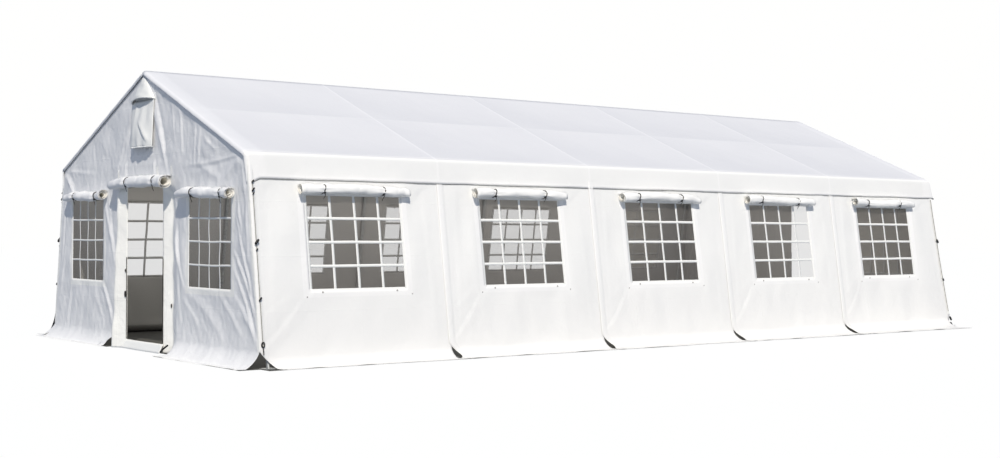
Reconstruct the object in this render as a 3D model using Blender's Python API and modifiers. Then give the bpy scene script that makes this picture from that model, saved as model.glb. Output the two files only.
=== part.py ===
"""A five-bay marquee: a steel tube frame under white coated sheeting.

The frame is six portals joined by five purlins. Two roof sheets with valances lie over it. Each long side has five
wall panels and each gable has two side panels, a top panel and a doorway. Every side panel has a window with its
cover rolled up above it, and a skirt that lies on the ground.

Metres, +Z up. X runs along the ridge, the front long wall faces -Y, and the origin is on the ground at the middle.
"""
import math

import bmesh
import bpy
from mathutils import Vector

# Driving dimensions of the tent
BAYS = 5
BAY = 2.0
GABLE_X = 5.09          # outer face of a gable sheet
ROOF_END_X = 5.096      # the roof sheets end just past the gable sheets
RIDGE_Z = 2.87          # top of the roof sheets at the ridge
EAVE_Y = 2.235          # outer edge of the roof sheets
EAVE_Z = 1.935
VALANCE_Z = 1.70        # lower edge of the valance
VALANCE_FLARE = 0.037   # how far that edge stands out from the eave
WALL_Y = 2.262          # outer face of a long wall at the height of the valance's edge
WALL_LEAN = 0.145       # the long walls splay outwards, metres for each metre down
WALL_TOP_Z = 1.922
SHEET = 0.004           # thickness of all the sheeting
GAP = 0.0003            # clearance between neighbouring solids

# Skirts
LONG_FOLD_Z = 0.10      # height at which a long wall turns outwards
LONG_GROUND_Y = 2.64    # where it meets the ground
LONG_SKIRT_Y = 2.82     # where it ends
GABLE_FOLD_Z = 0.15
GABLE_GROUND_X = 5.20
GABLE_SKIRT_X = 5.29
SLIT_HALF = 0.05        # half width of the slit between two skirts
SLIT_TOP = 0.088
CORNER_SLIT = 0.12      # the skirts stop this far from a corner post
CORNER_SLIT_TOP = 0.16

# Tubes and feet
TUBE_R = 0.019
SLEEVE_R = 0.023
SLEEVE_HALF = 0.07      # half length of a connecting sleeve
PLATE = (0.12, 0.12, 0.006)

# Windows and their rolled covers
WINDOW_Z = (0.685, 1.565)
LONG_WINDOW_W = 1.06
GABLE_WINDOW_W = 0.88
GABLE_WINDOW_Y = 1.49
PANE = 0.002
ROLL_R = 0.057
ROLL_Z = 1.612
ROLL_BITE = 0.002       # how deep a roll is welded into its panel
LONG_ROLL_L = 1.26
GABLE_ROLL_L = 1.20

# Doorways and vents
DOOR_HALF = 0.48
DOOR_TOP_Z = 1.70
DOOR_ROLL_R = 0.065
DOOR_ROLL_Z = 1.73
DOOR_ROLL_L = 1.50
JAMB_Y = 0.68           # outer edge of the strip beside the doorway that reaches the ground
JAMB_NOTCH = 0.10       # the skirt starts this far from it
SILL_Z = 0.095
SILL_OUT = 0.035        # the sill strip leans out this far at the ground
HOOD_Z = (2.57, 2.80)
HOOD_HALF = (0.27, 0.03)
HOOD_OUT = (0.13, 0.01)
FLAP_Z = (2.08, 2.54)
FLAP_HALF = 0.27
FLAP_OUT = 0.05
FLAP_SEAM = 0.04        # height of the strip that is welded to the gable

ROUND = 16              # sides of a tube
LENGTH = BAYS * BAY
PITCH = math.atan2(RIDGE_Z - EAVE_Z, EAVE_Y)
LEAN = math.atan(WALL_LEAN)
SHEET_DROP = SHEET / math.cos(PITCH)


def start_scene():
    """Empties the file and makes the collection of the tent and the one of its cutters."""
    for old in list(bpy.data.objects):
        bpy.data.objects.remove(old, do_unlink=True)
    made = []
    for name in ("marquee", "cutters"):
        group = bpy.data.collections.new(name)
        bpy.context.scene.collection.children.link(group)
        made.append(group)
    return made


TENT, CUTTERS = start_scene()


def material(name, colour, roughness, metallic=0.0, alpha=1.0):
    """A plain Principled material."""
    mat = bpy.data.materials.new(name)
    mat.use_nodes = True
    shader = mat.node_tree.nodes["Principled BSDF"]
    shader.inputs["Base Color"].default_value = (*colour, 1.0)
    shader.inputs["Roughness"].default_value = roughness
    shader.inputs["Metallic"].default_value = metallic
    shader.inputs["Alpha"].default_value = alpha
    return mat


STEEL = ("galvanised_steel", (0.55, 0.56, 0.57), 0.4, 1.0)
ROOFING = ("roof_sheeting", (0.80, 0.81, 0.86), 0.5)
WALLING = ("wall_sheeting", (0.86, 0.86, 0.85), 0.5)
GLAZING = ("clear_film", (0.30, 0.29, 0.28), 0.2, 0.0, 0.4)


def finish(obj, name, look):
    """Names an object, gives it a material of its own and puts it in the tent's collection."""
    obj.name = name
    obj.data.name = name
    obj.data.materials.clear()
    obj.data.materials.append(material(f"{name}_{look[0]}", *look[1:]))
    move_to(obj, TENT)
    return obj


def move_to(obj, group):
    """Leaves an object in one collection only."""
    for owner in list(obj.users_collection):
        owner.objects.unlink(obj)
    group.objects.link(obj)


def evaluated_mesh(obj):
    """The mesh of an object with its modifiers and transform applied, welded, its faces pointing out."""
    bpy.context.view_layer.update()
    graph = bpy.context.evaluated_depsgraph_get()
    mesh = bpy.data.meshes.new_from_object(obj.evaluated_get(graph))
    mesh.transform(obj.matrix_world)
    work = bmesh.new()
    work.from_mesh(mesh)
    bmesh.ops.remove_doubles(work, verts=work.verts, dist=1e-5)
    bmesh.ops.recalc_face_normals(work, faces=work.faces)
    work.to_mesh(mesh)
    work.free()
    return mesh


def baked(obj):
    """Replaces an object by a plain mesh object in world space."""
    fresh = bpy.data.objects.new(obj.name, evaluated_mesh(obj))
    TENT.objects.link(fresh)
    bpy.data.objects.remove(obj, do_unlink=True)
    return fresh


def outline(points, depth, turn, place):
    """A flat outline made thick: a filled 2D curve, extruded both ways by half of depth, turned and placed."""
    curve = bpy.data.curves.new("outline", "CURVE")
    curve.dimensions = "2D"
    curve.fill_mode = "BOTH"
    curve.extrude = depth / 2
    line = curve.splines.new("POLY")
    line.points.add(len(points) - 1)
    for point, (u, v) in zip(line.points, points):
        point.co = (u, v, 0.0, 1.0)
    line.use_cyclic_u = True
    obj = bpy.data.objects.new("outline", curve)
    TENT.objects.link(obj)
    obj.rotation_euler = turn
    obj.location = place
    return baked(obj)


def across(points, low_x, high_x):
    """An outline drawn in Y and Z, extruded along X from low_x to high_x."""
    return outline(points, high_x - low_x, (math.pi / 2, 0, math.pi / 2), ((low_x + high_x) / 2, 0, 0))


def along(points, low_y, high_y):
    """An outline drawn in X and Z, extruded along Y from low_y to high_y."""
    return outline(points, high_y - low_y, (math.pi / 2, 0, 0), (0, (low_y + high_y) / 2, 0))


def tube(start, end, radius):
    """A solid round bar between two points."""
    curve = bpy.data.curves.new("tube", "CURVE")
    curve.dimensions = "3D"
    curve.bevel_depth = radius
    curve.bevel_resolution = ROUND // 4 - 2
    curve.use_fill_caps = True
    line = curve.splines.new("POLY")
    line.points.add(1)
    line.points[0].co = (*start, 1.0)
    line.points[1].co = (*end, 1.0)
    obj = bpy.data.objects.new("tube", curve)
    TENT.objects.link(obj)
    return baked(obj)


def box(size, place, turn=(0, 0, 0)):
    """A box, its size applied."""
    bpy.ops.mesh.primitive_cube_add(size=1, location=place, rotation=turn)
    obj = bpy.context.object
    obj.scale = size
    return baked(obj)


def combine(target, tools, operation):
    """Joins tools to a target, or cuts them from it, with the result applied and the tools removed."""
    for tool in tools:
        step = target.modifiers.new(operation.lower(), "BOOLEAN")
        step.operation = operation
        step.solver = "EXACT"
        step.object = tool
    fresh = baked(target)
    for tool in tools:
        bpy.data.objects.remove(tool, do_unlink=True)
    return fresh


def cutter(obj, name):
    """Keeps an object as a cutter: seen as a wire, and never rendered."""
    obj.name = name
    obj.hide_render = True
    obj.display_type = "WIRE"
    move_to(obj, CUTTERS)
    return obj


def cut(target, tool):
    """A live cut of one object by a cutter."""
    step = target.modifiers.new(f"cut_{tool.name}", "BOOLEAN")
    step.operation = "DIFFERENCE"
    step.solver = "EXACT"
    step.object = tool


def roof_z(y):
    """Height of the roof's outer face at a distance y from the ridge."""
    return RIDGE_Z - abs(y) * math.tan(PITCH)


def wall_y(z):
    """Distance of a long wall's outer face from the middle, at height z."""
    return WALL_Y + WALL_LEAN * (VALANCE_Z - z)


def eave_centre():
    """Centre of the eave sleeve, which touches the roof's under side and the wall's inner face."""
    inset = SLEEVE_R + GAP
    wall_offset = WALL_Y + WALL_LEAN * VALANCE_Z - SHEET - inset / math.cos(LEAN)
    roof_offset = RIDGE_Z - SHEET_DROP - inset / math.cos(PITCH)
    y = (wall_offset - WALL_LEAN * roof_offset) / (1 - WALL_LEAN * math.tan(PITCH))
    return y, roof_offset - y * math.tan(PITCH)


EAVE_TUBE_Y, EAVE_TUBE_Z = eave_centre()
RIDGE_TUBE_Z = RIDGE_Z - SHEET_DROP - (SLEEVE_R + GAP) / math.cos(PITCH)
TUBE_LINES = {
    "front_eave_purlin": (-EAVE_TUBE_Y, EAVE_TUBE_Z),
    "front_slope_purlin": (-EAVE_TUBE_Y / 2, (EAVE_TUBE_Z + RIDGE_TUBE_Z) / 2),
    "ridge_purlin": (0.0, RIDGE_TUBE_Z),
    "rear_slope_purlin": (EAVE_TUBE_Y / 2, (EAVE_TUBE_Z + RIDGE_TUBE_Z) / 2),
    "rear_eave_purlin": (EAVE_TUBE_Y, EAVE_TUBE_Z),
}
END_INNER_X = GABLE_X - SHEET - GAP     # the frame stops here, against the gable sheets
END_FRAME_X = END_INNER_X - TUBE_R


def frame_x(index):
    """Place of a portal frame along the tent. The end ones stand against the gable sheets."""
    x = -LENGTH / 2 + index * BAY
    return max(-END_FRAME_X, min(END_FRAME_X, x))


def portal_frame(index):
    """Two splayed legs on foot plates, two rafters, and the five sleeves that hold the purlins."""
    x = frame_x(index)
    ridge = (x, 0.0, RIDGE_TUBE_Z)
    parts = []
    for side in (-1, 1):
        eave = (x, side * EAVE_TUBE_Y, EAVE_TUBE_Z)
        foot_z = PLATE[2] / 2
        foot_y = side * (EAVE_TUBE_Y + WALL_LEAN * (EAVE_TUBE_Z - foot_z))
        parts.append(tube(eave, (x, foot_y, foot_z), TUBE_R))
        parts.append(tube(eave, ridge, TUBE_R))
        parts.append(box(PLATE, (x, foot_y, PLATE[2] / 2)))
    low = max(-END_INNER_X, x - SLEEVE_HALF)
    high = min(END_INNER_X, x + SLEEVE_HALF)
    for y, z in TUBE_LINES.values():
        parts.append(tube((low, y, z), (high, y, z), SLEEVE_R))
    body = combine(parts[0], parts[1:], "UNION")
    bores = [tube((low - 0.01, y, z), (high + 0.01, y, z), TUBE_R + GAP) for y, z in TUBE_LINES.values()]
    finish(combine(body, bores, "DIFFERENCE"), f"portal_frame_{index + 1}", STEEL)


def purlins():
    """Five tubes from gable to gable, each through a sleeve on every portal."""
    for name, (y, z) in TUBE_LINES.items():
        finish(tube((-END_INNER_X, y, z), (END_INNER_X, y, z), TUBE_R), name, STEEL)


def roof(side, word):
    """One roof slope, and the valance that hangs from its edge."""
    near = GAP / 2
    slope = [(side * near, roof_z(near)), (side * EAVE_Y, EAVE_Z),
             (side * EAVE_Y, EAVE_Z - SHEET_DROP), (side * near, roof_z(near) - SHEET_DROP)]
    finish(across(slope, -ROOF_END_X, ROOF_END_X), f"roof_{word}_slope", ROOFING)
    top = EAVE_Z - SHEET_DROP - GAP
    low = EAVE_Y + VALANCE_FLARE
    drop = [(side * EAVE_Y, top), (side * low, VALANCE_Z),
            (side * (low - SHEET), VALANCE_Z), (side * (EAVE_Y - SHEET), top)]
    finish(across(drop, -ROOF_END_X, ROOF_END_X), f"{word}_valance", WALLING)


def long_wall_profile(side):
    """Section of a long wall: up the outer face, down the inner one, with the skirt on the ground."""
    fold = wall_y(LONG_FOLD_Z)
    points = [(wall_y(WALL_TOP_Z), WALL_TOP_Z), (fold, LONG_FOLD_Z), (LONG_GROUND_Y, SHEET),
              (LONG_SKIRT_Y, SHEET), (LONG_SKIRT_Y, 0.0), (LONG_GROUND_Y - SHEET / 2, 0.0),
              (fold - SHEET, LONG_FOLD_Z - SHEET / 4), (wall_y(WALL_TOP_Z) - SHEET, WALL_TOP_Z)]
    return [(side * y, z) for y, z in points]


def slit(x, half, top, side):
    """A three-sided wedge that parts two skirts at a post of a long wall."""
    points = [(x - half, -0.01), (x + half, -0.01), (x, top)]
    low, high = sorted((side * (wall_y(0.0) - 0.06), side * (LONG_SKIRT_Y + 0.1)))
    return along(points, low, high)


def long_slits(side, word):
    """The wedges at the six posts of a long wall."""
    made = []
    for index in range(BAYS + 1):
        corner = index in (0, BAYS)
        half, top = (CORNER_SLIT, CORNER_SLIT_TOP) if corner else (SLIT_HALF, SLIT_TOP)
        x = -LENGTH / 2 + index * BAY
        if corner:
            x = math.copysign(GABLE_X, x)
        made.append(cutter(slit(x, half, top, side), f"{word}_slit_{index + 1}"))
    return made


def window_box(width, inset, depth, side):
    """A box on the slope of a long wall that fills the window opening, less an inset all round."""
    middle_z = sum(WINDOW_Z) / 2
    height = (WINDOW_Z[1] - WINDOW_Z[0]) / math.cos(LEAN)
    place = (0.0, side * (wall_y(middle_z) - SHEET / 2), middle_z)
    return box((width - 2 * inset, depth, height - 2 * inset), place, (side * LEAN, 0, 0))


def long_wall(side, word):
    """Five panels with their windows, covers rolled up above them, and skirts."""
    slits = long_slits(side, word)
    for bay in range(BAYS):
        low = -LENGTH / 2 + bay * BAY
        middle = low + BAY / 2
        high = low + BAY - GAP
        low = -END_INNER_X if bay == 0 else low
        high = END_INNER_X if bay == BAYS - 1 else high
        panel = across(long_wall_profile(side), low, high)
        roll_y = side * (wall_y(ROLL_Z) + ROLL_R / math.cos(LEAN) - ROLL_BITE)
        ends = (middle - LONG_ROLL_L / 2, middle + LONG_ROLL_L / 2)
        roll = tube((ends[0], roll_y, ROLL_Z), (ends[1], roll_y, ROLL_Z), ROLL_R)
        panel = finish(combine(panel, [roll], "UNION"), f"{word}_wall_{bay + 1}", WALLING)
        hole = cutter(window_box(LONG_WINDOW_W, 0.0, 3 * SHEET, side), f"{word}_window_hole_{bay + 1}")
        hole.location.x = middle
        for tool in (hole, slits[bay], slits[bay + 1]):
            cut(panel, tool)
        pane = finish(window_box(LONG_WINDOW_W, GAP, PANE, side), f"{word}_window_{bay + 1}", GLAZING)
        pane.location.x = middle


def gable_top(end, word):
    """The gable above the doorway, with the rolled door curtain on its face."""
    inner_eave = EAVE_Y - SHEET - GAP
    shoulder = (wall_y(WALL_TOP_Z), WALL_TOP_Z)
    under_y = shoulder[0] - SHEET
    under = (under_y, roof_z(under_y) - SHEET_DROP - GAP)
    apex = (0.0, RIDGE_Z - SHEET_DROP - GAP)
    half = [(wall_y(DOOR_TOP_Z), DOOR_TOP_Z), (min(shoulder[0], inner_eave), WALL_TOP_Z), under]
    points = half + [apex] + [(-y, z) for y, z in reversed(half)]
    face, back = end * GABLE_X, end * (GABLE_X - SHEET)
    sheet = across(points, min(face, back), max(face, back))
    roll_x = end * (GABLE_X + DOOR_ROLL_R - ROLL_BITE)
    roll = tube((roll_x, -DOOR_ROLL_L / 2, DOOR_ROLL_Z), (roll_x, DOOR_ROLL_L / 2, DOOR_ROLL_Z), DOOR_ROLL_R)
    finish(combine(sheet, [roll], "UNION"), f"{word}_gable_top", WALLING)


def gable_sheet(end, side):
    """The flat of a gable side panel: it follows the long wall's splay, and its jamb strip runs down to the ground."""
    top = DOOR_TOP_Z - GAP
    points = [(DOOR_HALF + GAP, top), (DOOR_HALF + GAP, 0.0), (JAMB_Y, 0.0), (JAMB_Y + JAMB_NOTCH / 2, GABLE_FOLD_Z),
              (wall_y(GABLE_FOLD_Z), GABLE_FOLD_Z), (wall_y(top), top)]
    face, back = end * GABLE_X, end * (GABLE_X - SHEET)
    return across([(side * y, z) for y, z in points], min(face, back), max(face, back))


def gable_skirt(end, side):
    """The skirt of a gable side panel, from the fold out over the ground."""
    bite = SHEET / 8
    points = [(GABLE_X - bite, GABLE_FOLD_Z + SHEET), (GABLE_X - bite, GABLE_FOLD_Z - bite), (GABLE_GROUND_X, SHEET),
              (GABLE_SKIRT_X, SHEET), (GABLE_SKIRT_X, 0.0), (GABLE_GROUND_X - SHEET / 2, 0.0),
              (GABLE_X - SHEET + bite, GABLE_FOLD_Z - SHEET), (GABLE_X - SHEET + bite, GABLE_FOLD_Z + SHEET)]
    low, high = sorted((side * (JAMB_Y + JAMB_NOTCH), side * wall_y(GABLE_FOLD_Z + 2 * SHEET)))
    return along([(end * x, z) for x, z in points], low, high)


def gable_panel(end, side, word, hand):
    """The gable between the doorway and a corner: a sheet with its skirt, a window and the rolled cover above it."""
    roll_x = end * (GABLE_X + ROLL_R - ROLL_BITE)
    centre = side * GABLE_WINDOW_Y
    ends = (centre - GABLE_ROLL_L / 2, centre + GABLE_ROLL_L / 2)
    roll = tube((roll_x, ends[0], ROLL_Z), (roll_x, ends[1], ROLL_Z), ROLL_R)
    panel = combine(gable_sheet(end, side), [gable_skirt(end, side), roll], "UNION")
    finish(panel, f"{word}_gable_{hand}_panel", WALLING)
    middle_z = sum(WINDOW_Z) / 2
    height = WINDOW_Z[1] - WINDOW_Z[0]
    place = (end * (GABLE_X - SHEET / 2), centre, middle_z)
    hole = cutter(box((3 * SHEET, GABLE_WINDOW_W, height), place), f"{word}_gable_{hand}_window_hole")
    cut(panel, hole)
    foot = side * wall_y(0.0)
    wedge = [(foot - CORNER_SLIT, -0.01), (foot + CORNER_SLIT, -0.01), (foot, CORNER_SLIT_TOP)]
    reach = sorted((end * (GABLE_X - 0.02), end * (GABLE_SKIRT_X + 0.1)))
    cut(panel, cutter(across(wedge, *reach), f"{word}_gable_{hand}_slit"))
    pane = box((PANE, GABLE_WINDOW_W - 2 * GAP, height - 2 * GAP), place)
    finish(pane, f"{word}_gable_{hand}_window", GLAZING)


def door_sill(end, word):
    """The strip across the foot of the doorway, leaning out to the ground."""
    points = [(GABLE_X - SHEET, SILL_Z), (GABLE_X, SILL_Z), (GABLE_X + SILL_OUT, 0.0), (GABLE_X + SILL_OUT - SHEET, 0.0)]
    strip = along([(end * x, z) for x, z in points], -DOOR_HALF, DOOR_HALF)
    finish(strip, f"{word}_door_sill", WALLING)


def vent_flap(end, word):
    """The curtain over the gable vent, welded along its top and standing out at its foot."""
    face = GABLE_X + GAP
    points = [(face, FLAP_Z[1]), (face + SHEET, FLAP_Z[1]), (face + FLAP_OUT + SHEET, FLAP_Z[0]),
              (face + FLAP_OUT, FLAP_Z[0]), (face, FLAP_Z[1] - FLAP_SEAM)]
    curtain = along([(end * x, z) for x, z in points], -FLAP_HALF, FLAP_HALF)
    finish(curtain, f"{word}_vent_flap", WALLING)


def vent_hood(end, word):
    """The bowed awning over the vent: a half cone from near the apex, cut off flat against the gable."""
    rows, columns = 5, 12
    sheet = bmesh.new()
    bmesh.ops.create_grid(sheet, x_segments=columns, y_segments=rows, size=0.5)
    for vert in sheet.verts:
        turn = math.pi * (vert.co.x + 0.5)
        rise = vert.co.y + 0.5
        half = HOOD_HALF[0] + (HOOD_HALF[1] - HOOD_HALF[0]) * rise
        out = HOOD_OUT[0] + (HOOD_OUT[1] - HOOD_OUT[0]) * rise
        x = GABLE_X - 2 * SHEET + (out + 2 * SHEET) * math.sin(turn)
        vert.co = Vector((end * x, half * math.cos(turn), HOOD_Z[0] + (HOOD_Z[1] - HOOD_Z[0]) * rise))
    mesh = bpy.data.meshes.new("hood")
    sheet.to_mesh(mesh)
    sheet.free()
    obj = bpy.data.objects.new("hood", mesh)
    TENT.objects.link(obj)
    thick = obj.modifiers.new("thickness", "SOLIDIFY")
    thick.thickness = SHEET
    obj = baked(obj)
    inside = end * (GABLE_X + GAP - 0.1)
    wall = box((0.2, 1.0, 1.0), (inside, 0.0, sum(HOOD_Z) / 2))
    finish(combine(obj, [wall], "DIFFERENCE"), f"{word}_vent_hood", WALLING)


def main():
    for index in range(BAYS + 1):
        portal_frame(index)
    purlins()
    for side, word in ((-1, "front"), (1, "rear")):
        roof(side, word)
        long_wall(side, word)
    for end, word in ((-1, "left"), (1, "right")):
        gable_top(end, word)
        for side, hand in ((-1, "front"), (1, "rear")):
            gable_panel(end, side, word, hand)
        door_sill(end, word)
        vent_flap(end, word)
        vent_hood(end, word)


main()
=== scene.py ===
# %% [markdown]
# # A white frame marquee, five bays long
#
# The real tent is a frame of zinc-coated steel tube under sheets of coated polyester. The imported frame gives
# the tubes, the feet and the place of every sheet. This script turns each sheet into cloth: thin surfaces
# with folds, welded bands, windows of clear film, rolled covers with their elastic ties, and skirts that lie
# on the ground.

import math

import bmesh
import bpy
import numpy as np
from mathutils import Matrix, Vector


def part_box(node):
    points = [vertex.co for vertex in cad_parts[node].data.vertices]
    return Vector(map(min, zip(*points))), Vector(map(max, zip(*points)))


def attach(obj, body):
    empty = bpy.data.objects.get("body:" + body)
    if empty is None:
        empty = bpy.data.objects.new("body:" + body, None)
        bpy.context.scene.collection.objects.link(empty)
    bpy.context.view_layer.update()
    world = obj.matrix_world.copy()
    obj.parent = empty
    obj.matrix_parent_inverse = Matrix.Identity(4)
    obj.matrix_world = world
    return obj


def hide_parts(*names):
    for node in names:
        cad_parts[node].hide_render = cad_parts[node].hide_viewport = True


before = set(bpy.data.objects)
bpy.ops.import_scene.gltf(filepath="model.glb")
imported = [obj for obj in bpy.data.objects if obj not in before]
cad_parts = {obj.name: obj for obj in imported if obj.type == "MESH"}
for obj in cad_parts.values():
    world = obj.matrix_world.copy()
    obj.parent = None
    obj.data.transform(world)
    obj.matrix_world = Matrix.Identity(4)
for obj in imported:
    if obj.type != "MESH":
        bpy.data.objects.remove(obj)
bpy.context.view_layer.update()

# %% [markdown]
# ## The camera
#
# The photograph was taken with a normal lens from about eye height, beyond the near corner, level with the
# ground. A fit of the tent's seams, windows and feet gave the place and the turn. The turn is built from
# three plain rotations: a tip of a quarter turn that makes the camera look along +Y, a turn about the
# vertical, and a small roll.

# %% Camera
EYE = (-11.068, -13.623, 1.211)
YAW, PITCH_UP, ROLL = -37.886, 0.185, 0.200     # degrees
LENS_MM, SENSOR_MM = 50.72, 36.0


def placed(name, data):
    """A new object for a mesh, camera or light, linked to the scene."""
    obj = bpy.data.objects.new(name, data)
    bpy.context.scene.collection.objects.link(obj)
    return obj


camera_data = bpy.data.cameras.new("camera")
camera_data.lens, camera_data.sensor_width = LENS_MM, SENSOR_MM
camera = placed("camera", camera_data)
turned = Matrix.Rotation(math.radians(YAW), 4, "Z")
tipped = Matrix.Rotation(math.radians(90 + PITCH_UP), 4, "X")
rolled = Matrix.Rotation(math.radians(ROLL), 4, "Z")
camera.matrix_world = Matrix.Translation(EYE) @ turned @ tipped @ rolled
bpy.context.scene.camera = camera
print("camera at", EYE)

# %% [markdown]
# ## The sizes
#
# Every sheet stands where its solid stands, so the main lines come from the boxes of the solids: the ridge,
# the eaves, the valance's edge, the windows and the gables. A few slopes that a box can't tell are written
# down beside them.

# %% Lines of the tent
slope_low, slope_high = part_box("roof_front_slope")
valance_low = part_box("front_valance")[0]
pane_low, pane_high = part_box("front_window_1")
gable_pane_low, gable_pane_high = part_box("left_gable_rear_window")
side_low, side_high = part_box("left_gable_rear_panel")

BAYS, BAY = 5, 2.0
HALF = BAYS * BAY / 2
ROOF_END = slope_high.x                 # half the roof's length
RIDGE_Z = slope_high.z
EAVE_Y, EAVE_Z = -slope_low.y, 1.935
PITCH = math.atan2(RIDGE_Z - EAVE_Z, EAVE_Y)
VALANCE_Y, VALANCE_Z = -valance_low.y, valance_low.z
GABLE_X = 5.09                          # outer face of a gable
WALL_Y, WALL_LEAN = 2.262, 0.145        # a long wall at the valance's edge, and its splay per metre down
WALL_TOP_Z = 1.922
LONG_PANE = (pane_high.x - pane_low.x) / 2
PANE_Z = (0.685, 1.565)
GABLE_PANE_Y = (gable_pane_low.y, gable_pane_high.y)
DOOR_HALF, DOOR_TOP_Z = side_low.y, side_high.z
CLOTH = 0.0012                          # thickness of a sheet as it is drawn
LIE = 0.0035                            # height of cloth that lies on the ground
SIDES = ((-1, "front"), (1, "rear"))    # the sign of Y, and the word for it
ENDS = ((-1, "left"), (1, "right"))     # the sign of X, and the word for it
print("ridge", round(RIDGE_Z, 3), "eave", round(EAVE_Y, 3), "doorway half", round(DOOR_HALF, 3))


def wall_y(z):
    """Distance of a long wall's outer face from the middle: a straight line that splays out downwards."""
    return WALL_Y + WALL_LEAN * (VALANCE_Z - z)


def roof_z(y):
    """Height of the roof's face: two straight slopes, with the ridge rounded by a hyperbola."""
    crown = 0.008
    return RIDGE_Z - math.tan(PITCH) * np.sqrt(np.square(y) + crown ** 2)


# %% [markdown]
# ## Surfaces from arrays
#
# Cloth is easiest to make as a grid of points: rows down the sheet, columns across it. Each cell of the grid
# becomes one four-sided face, and cells over a window are left out. Whole arrays are worked out at once, so
# a fold is a formula and not a brush stroke. A round bar is the same grid, wrapped round a path.

# %% Grids and meshes
def stacked(x, y, z):
    """Points from three arrays of coordinates, spread to one shape."""
    return np.stack(np.broadcast_arrays(x, y, z), axis=-1)


def facing(flat, quads):
    """Where each face looks: the cross product of its two diagonals."""
    return np.cross(flat[quads[:, 2]] - flat[quads[:, 0]], flat[quads[:, 3]] - flat[quads[:, 1]])


def cells_of(points, towards=None, kept=None, wrap=False, double=0.0):
    """A grid of points as (points, faces, double), its faces turned, on the whole, towards a direction.

    double is 1 where two layers of cloth are welded together, and on the roof also along the purlin, where it
    paints a highlight; it is 0 elsewhere.
    """
    rows, columns = points.shape[:2]
    number = np.arange(rows * columns).reshape(rows, columns)
    if wrap:
        number = np.hstack([number, number[:, :1]])
    quads = np.stack([number[:-1, :-1], number[:-1, 1:], number[1:, 1:], number[1:, :-1]], axis=-1)
    quads = quads.reshape(-1, 4) if kept is None else quads[kept]
    flat = points.reshape(-1, 3)
    if towards is not None and (facing(flat, quads) * np.asarray(towards)).sum() < 0:
        quads = quads[:, ::-1]
    return flat, quads, np.broadcast_to(double, (rows, columns)).ravel()


def joined(parts):
    """Several parts from cells_of as one."""
    starts = np.cumsum([0] + [len(part[0]) for part in parts[:-1]])
    points = np.concatenate([part[0] for part in parts])
    faces = np.concatenate([part[1] + start for part, start in zip(parts, starts)])
    return points, faces, np.concatenate([part[2] for part in parts])


SHARP = math.radians(40)    # a closed piece keeps edges that turn by more than this


def build(name, parts, looks, thick=0.0, replaces=(), closed=False):
    """A mesh object from parts made by cells_of, welded where they meet, that rides on the tent.

    looks are its materials: the face, then the back of the cloth. thick adds the cloth's thickness behind
    the face.
    """
    points, faces, double = joined(parts)
    used, faces = np.unique(faces, return_inverse=True)
    mesh = bpy.data.meshes.new(name)
    mesh.from_pydata(points[used].tolist(), [], faces.reshape(-1, 4).tolist())
    layers = mesh.attributes.new("double", "FLOAT", "POINT").data
    layers.foreach_set("value", double[used].astype(np.float32))
    work = bmesh.new()
    work.from_mesh(mesh)
    bmesh.ops.remove_doubles(work, verts=work.verts, dist=1e-5)
    if closed:
        bmesh.ops.recalc_face_normals(work, faces=work.faces)
    work.to_mesh(mesh)
    work.free()
    for look in looks:
        mesh.materials.append(look)
    mesh.shade_smooth()
    if closed:
        mesh.set_sharp_from_angle(angle=SHARP)
    obj = placed(name, mesh)
    if thick:
        step = obj.modifiers.new("thickness", "SOLIDIFY")
        step.thickness = thick
        step.offset = -1.0
        step.material_offset = len(looks) - 1
    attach(obj, "root")
    if replaces:
        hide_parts(*replaces)
    return obj


def bar(path, radius, sides=8, lean=(0.0, 0.0, 1.0), loop=False):
    """A round bar, as cells_of gives it: a ring square to the path at each point, and pointed ends.

    Each ring is made from two directions square to the path: one is the path's direction crossed with lean,
    the other crosses those two. radius may be one number or one for each point, so that the same grid turns
    knobs and pegs.
    """
    path = np.asarray(path, float)
    radius = np.broadcast_to(np.asarray(radius, float), len(path))
    if loop:
        along = np.roll(path, -1, axis=0) - np.roll(path, 1, axis=0)
    else:
        along = np.gradient(path, axis=0)
    along /= np.linalg.norm(along, axis=1, keepdims=True)
    first = np.cross(along, lean)
    first /= np.linalg.norm(first, axis=1, keepdims=True)
    second = np.cross(along, first)
    angle = ring_of(sides)
    ring = first[:, None] * np.cos(angle)[None, :, None] + second[:, None] * np.sin(angle)[None, :, None]
    points = path[:, None] + ring * radius[:, None, None]
    if loop:
        points = np.concatenate([points, points[:1]])
    else:
        ends = [np.repeat(path[i][None, None], sides, axis=1) for i in (0, -1)]
        points = np.concatenate([ends[0], points, ends[1]])
    return cells_of(points, wrap=True)


def ball(centre, half, radius, lean):
    """A ball as a short bar, whose radius goes as the root of 1.02 less the square of the way."""
    t = np.linspace(-1, 1, 7)
    return bar(centre + t[:, None] * half, radius * np.sqrt(1.02 - t ** 2), lean=lean)


def ring_of(count):
    """Angles all the way round, without the last, which is the first again."""
    return np.linspace(0, 2 * np.pi, count, endpoint=False)


def graded(marks, step):
    """Numbers from the first mark to the last, about step apart, that hit every mark on the way."""
    counts = [max(1, round((b - a) / step)) for a, b in zip(marks, marks[1:])]
    runs = [np.linspace(a, b, n, endpoint=False) for a, b, n in zip(marks, marks[1:], counts)]
    return np.concatenate(runs + [[marks[-1]]])


# %% [markdown]
# ## Folds
#
# A fold in tight cloth runs between the two things that pull it, with a ridge and beside it a shallow
# valley. Slack cloth also has a restless, wavy ground. A sum of plane waves in random directions gives that
# without any picture, and the same seed gives the same waves each time.

# %% Formulas for folds
def smooth(t):
    """A step from 0 to 1 with no corners: three t squared less two t cubed."""
    t = np.clip(t, 0.0, 1.0)
    return t * t * (3 - 2 * t)


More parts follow.
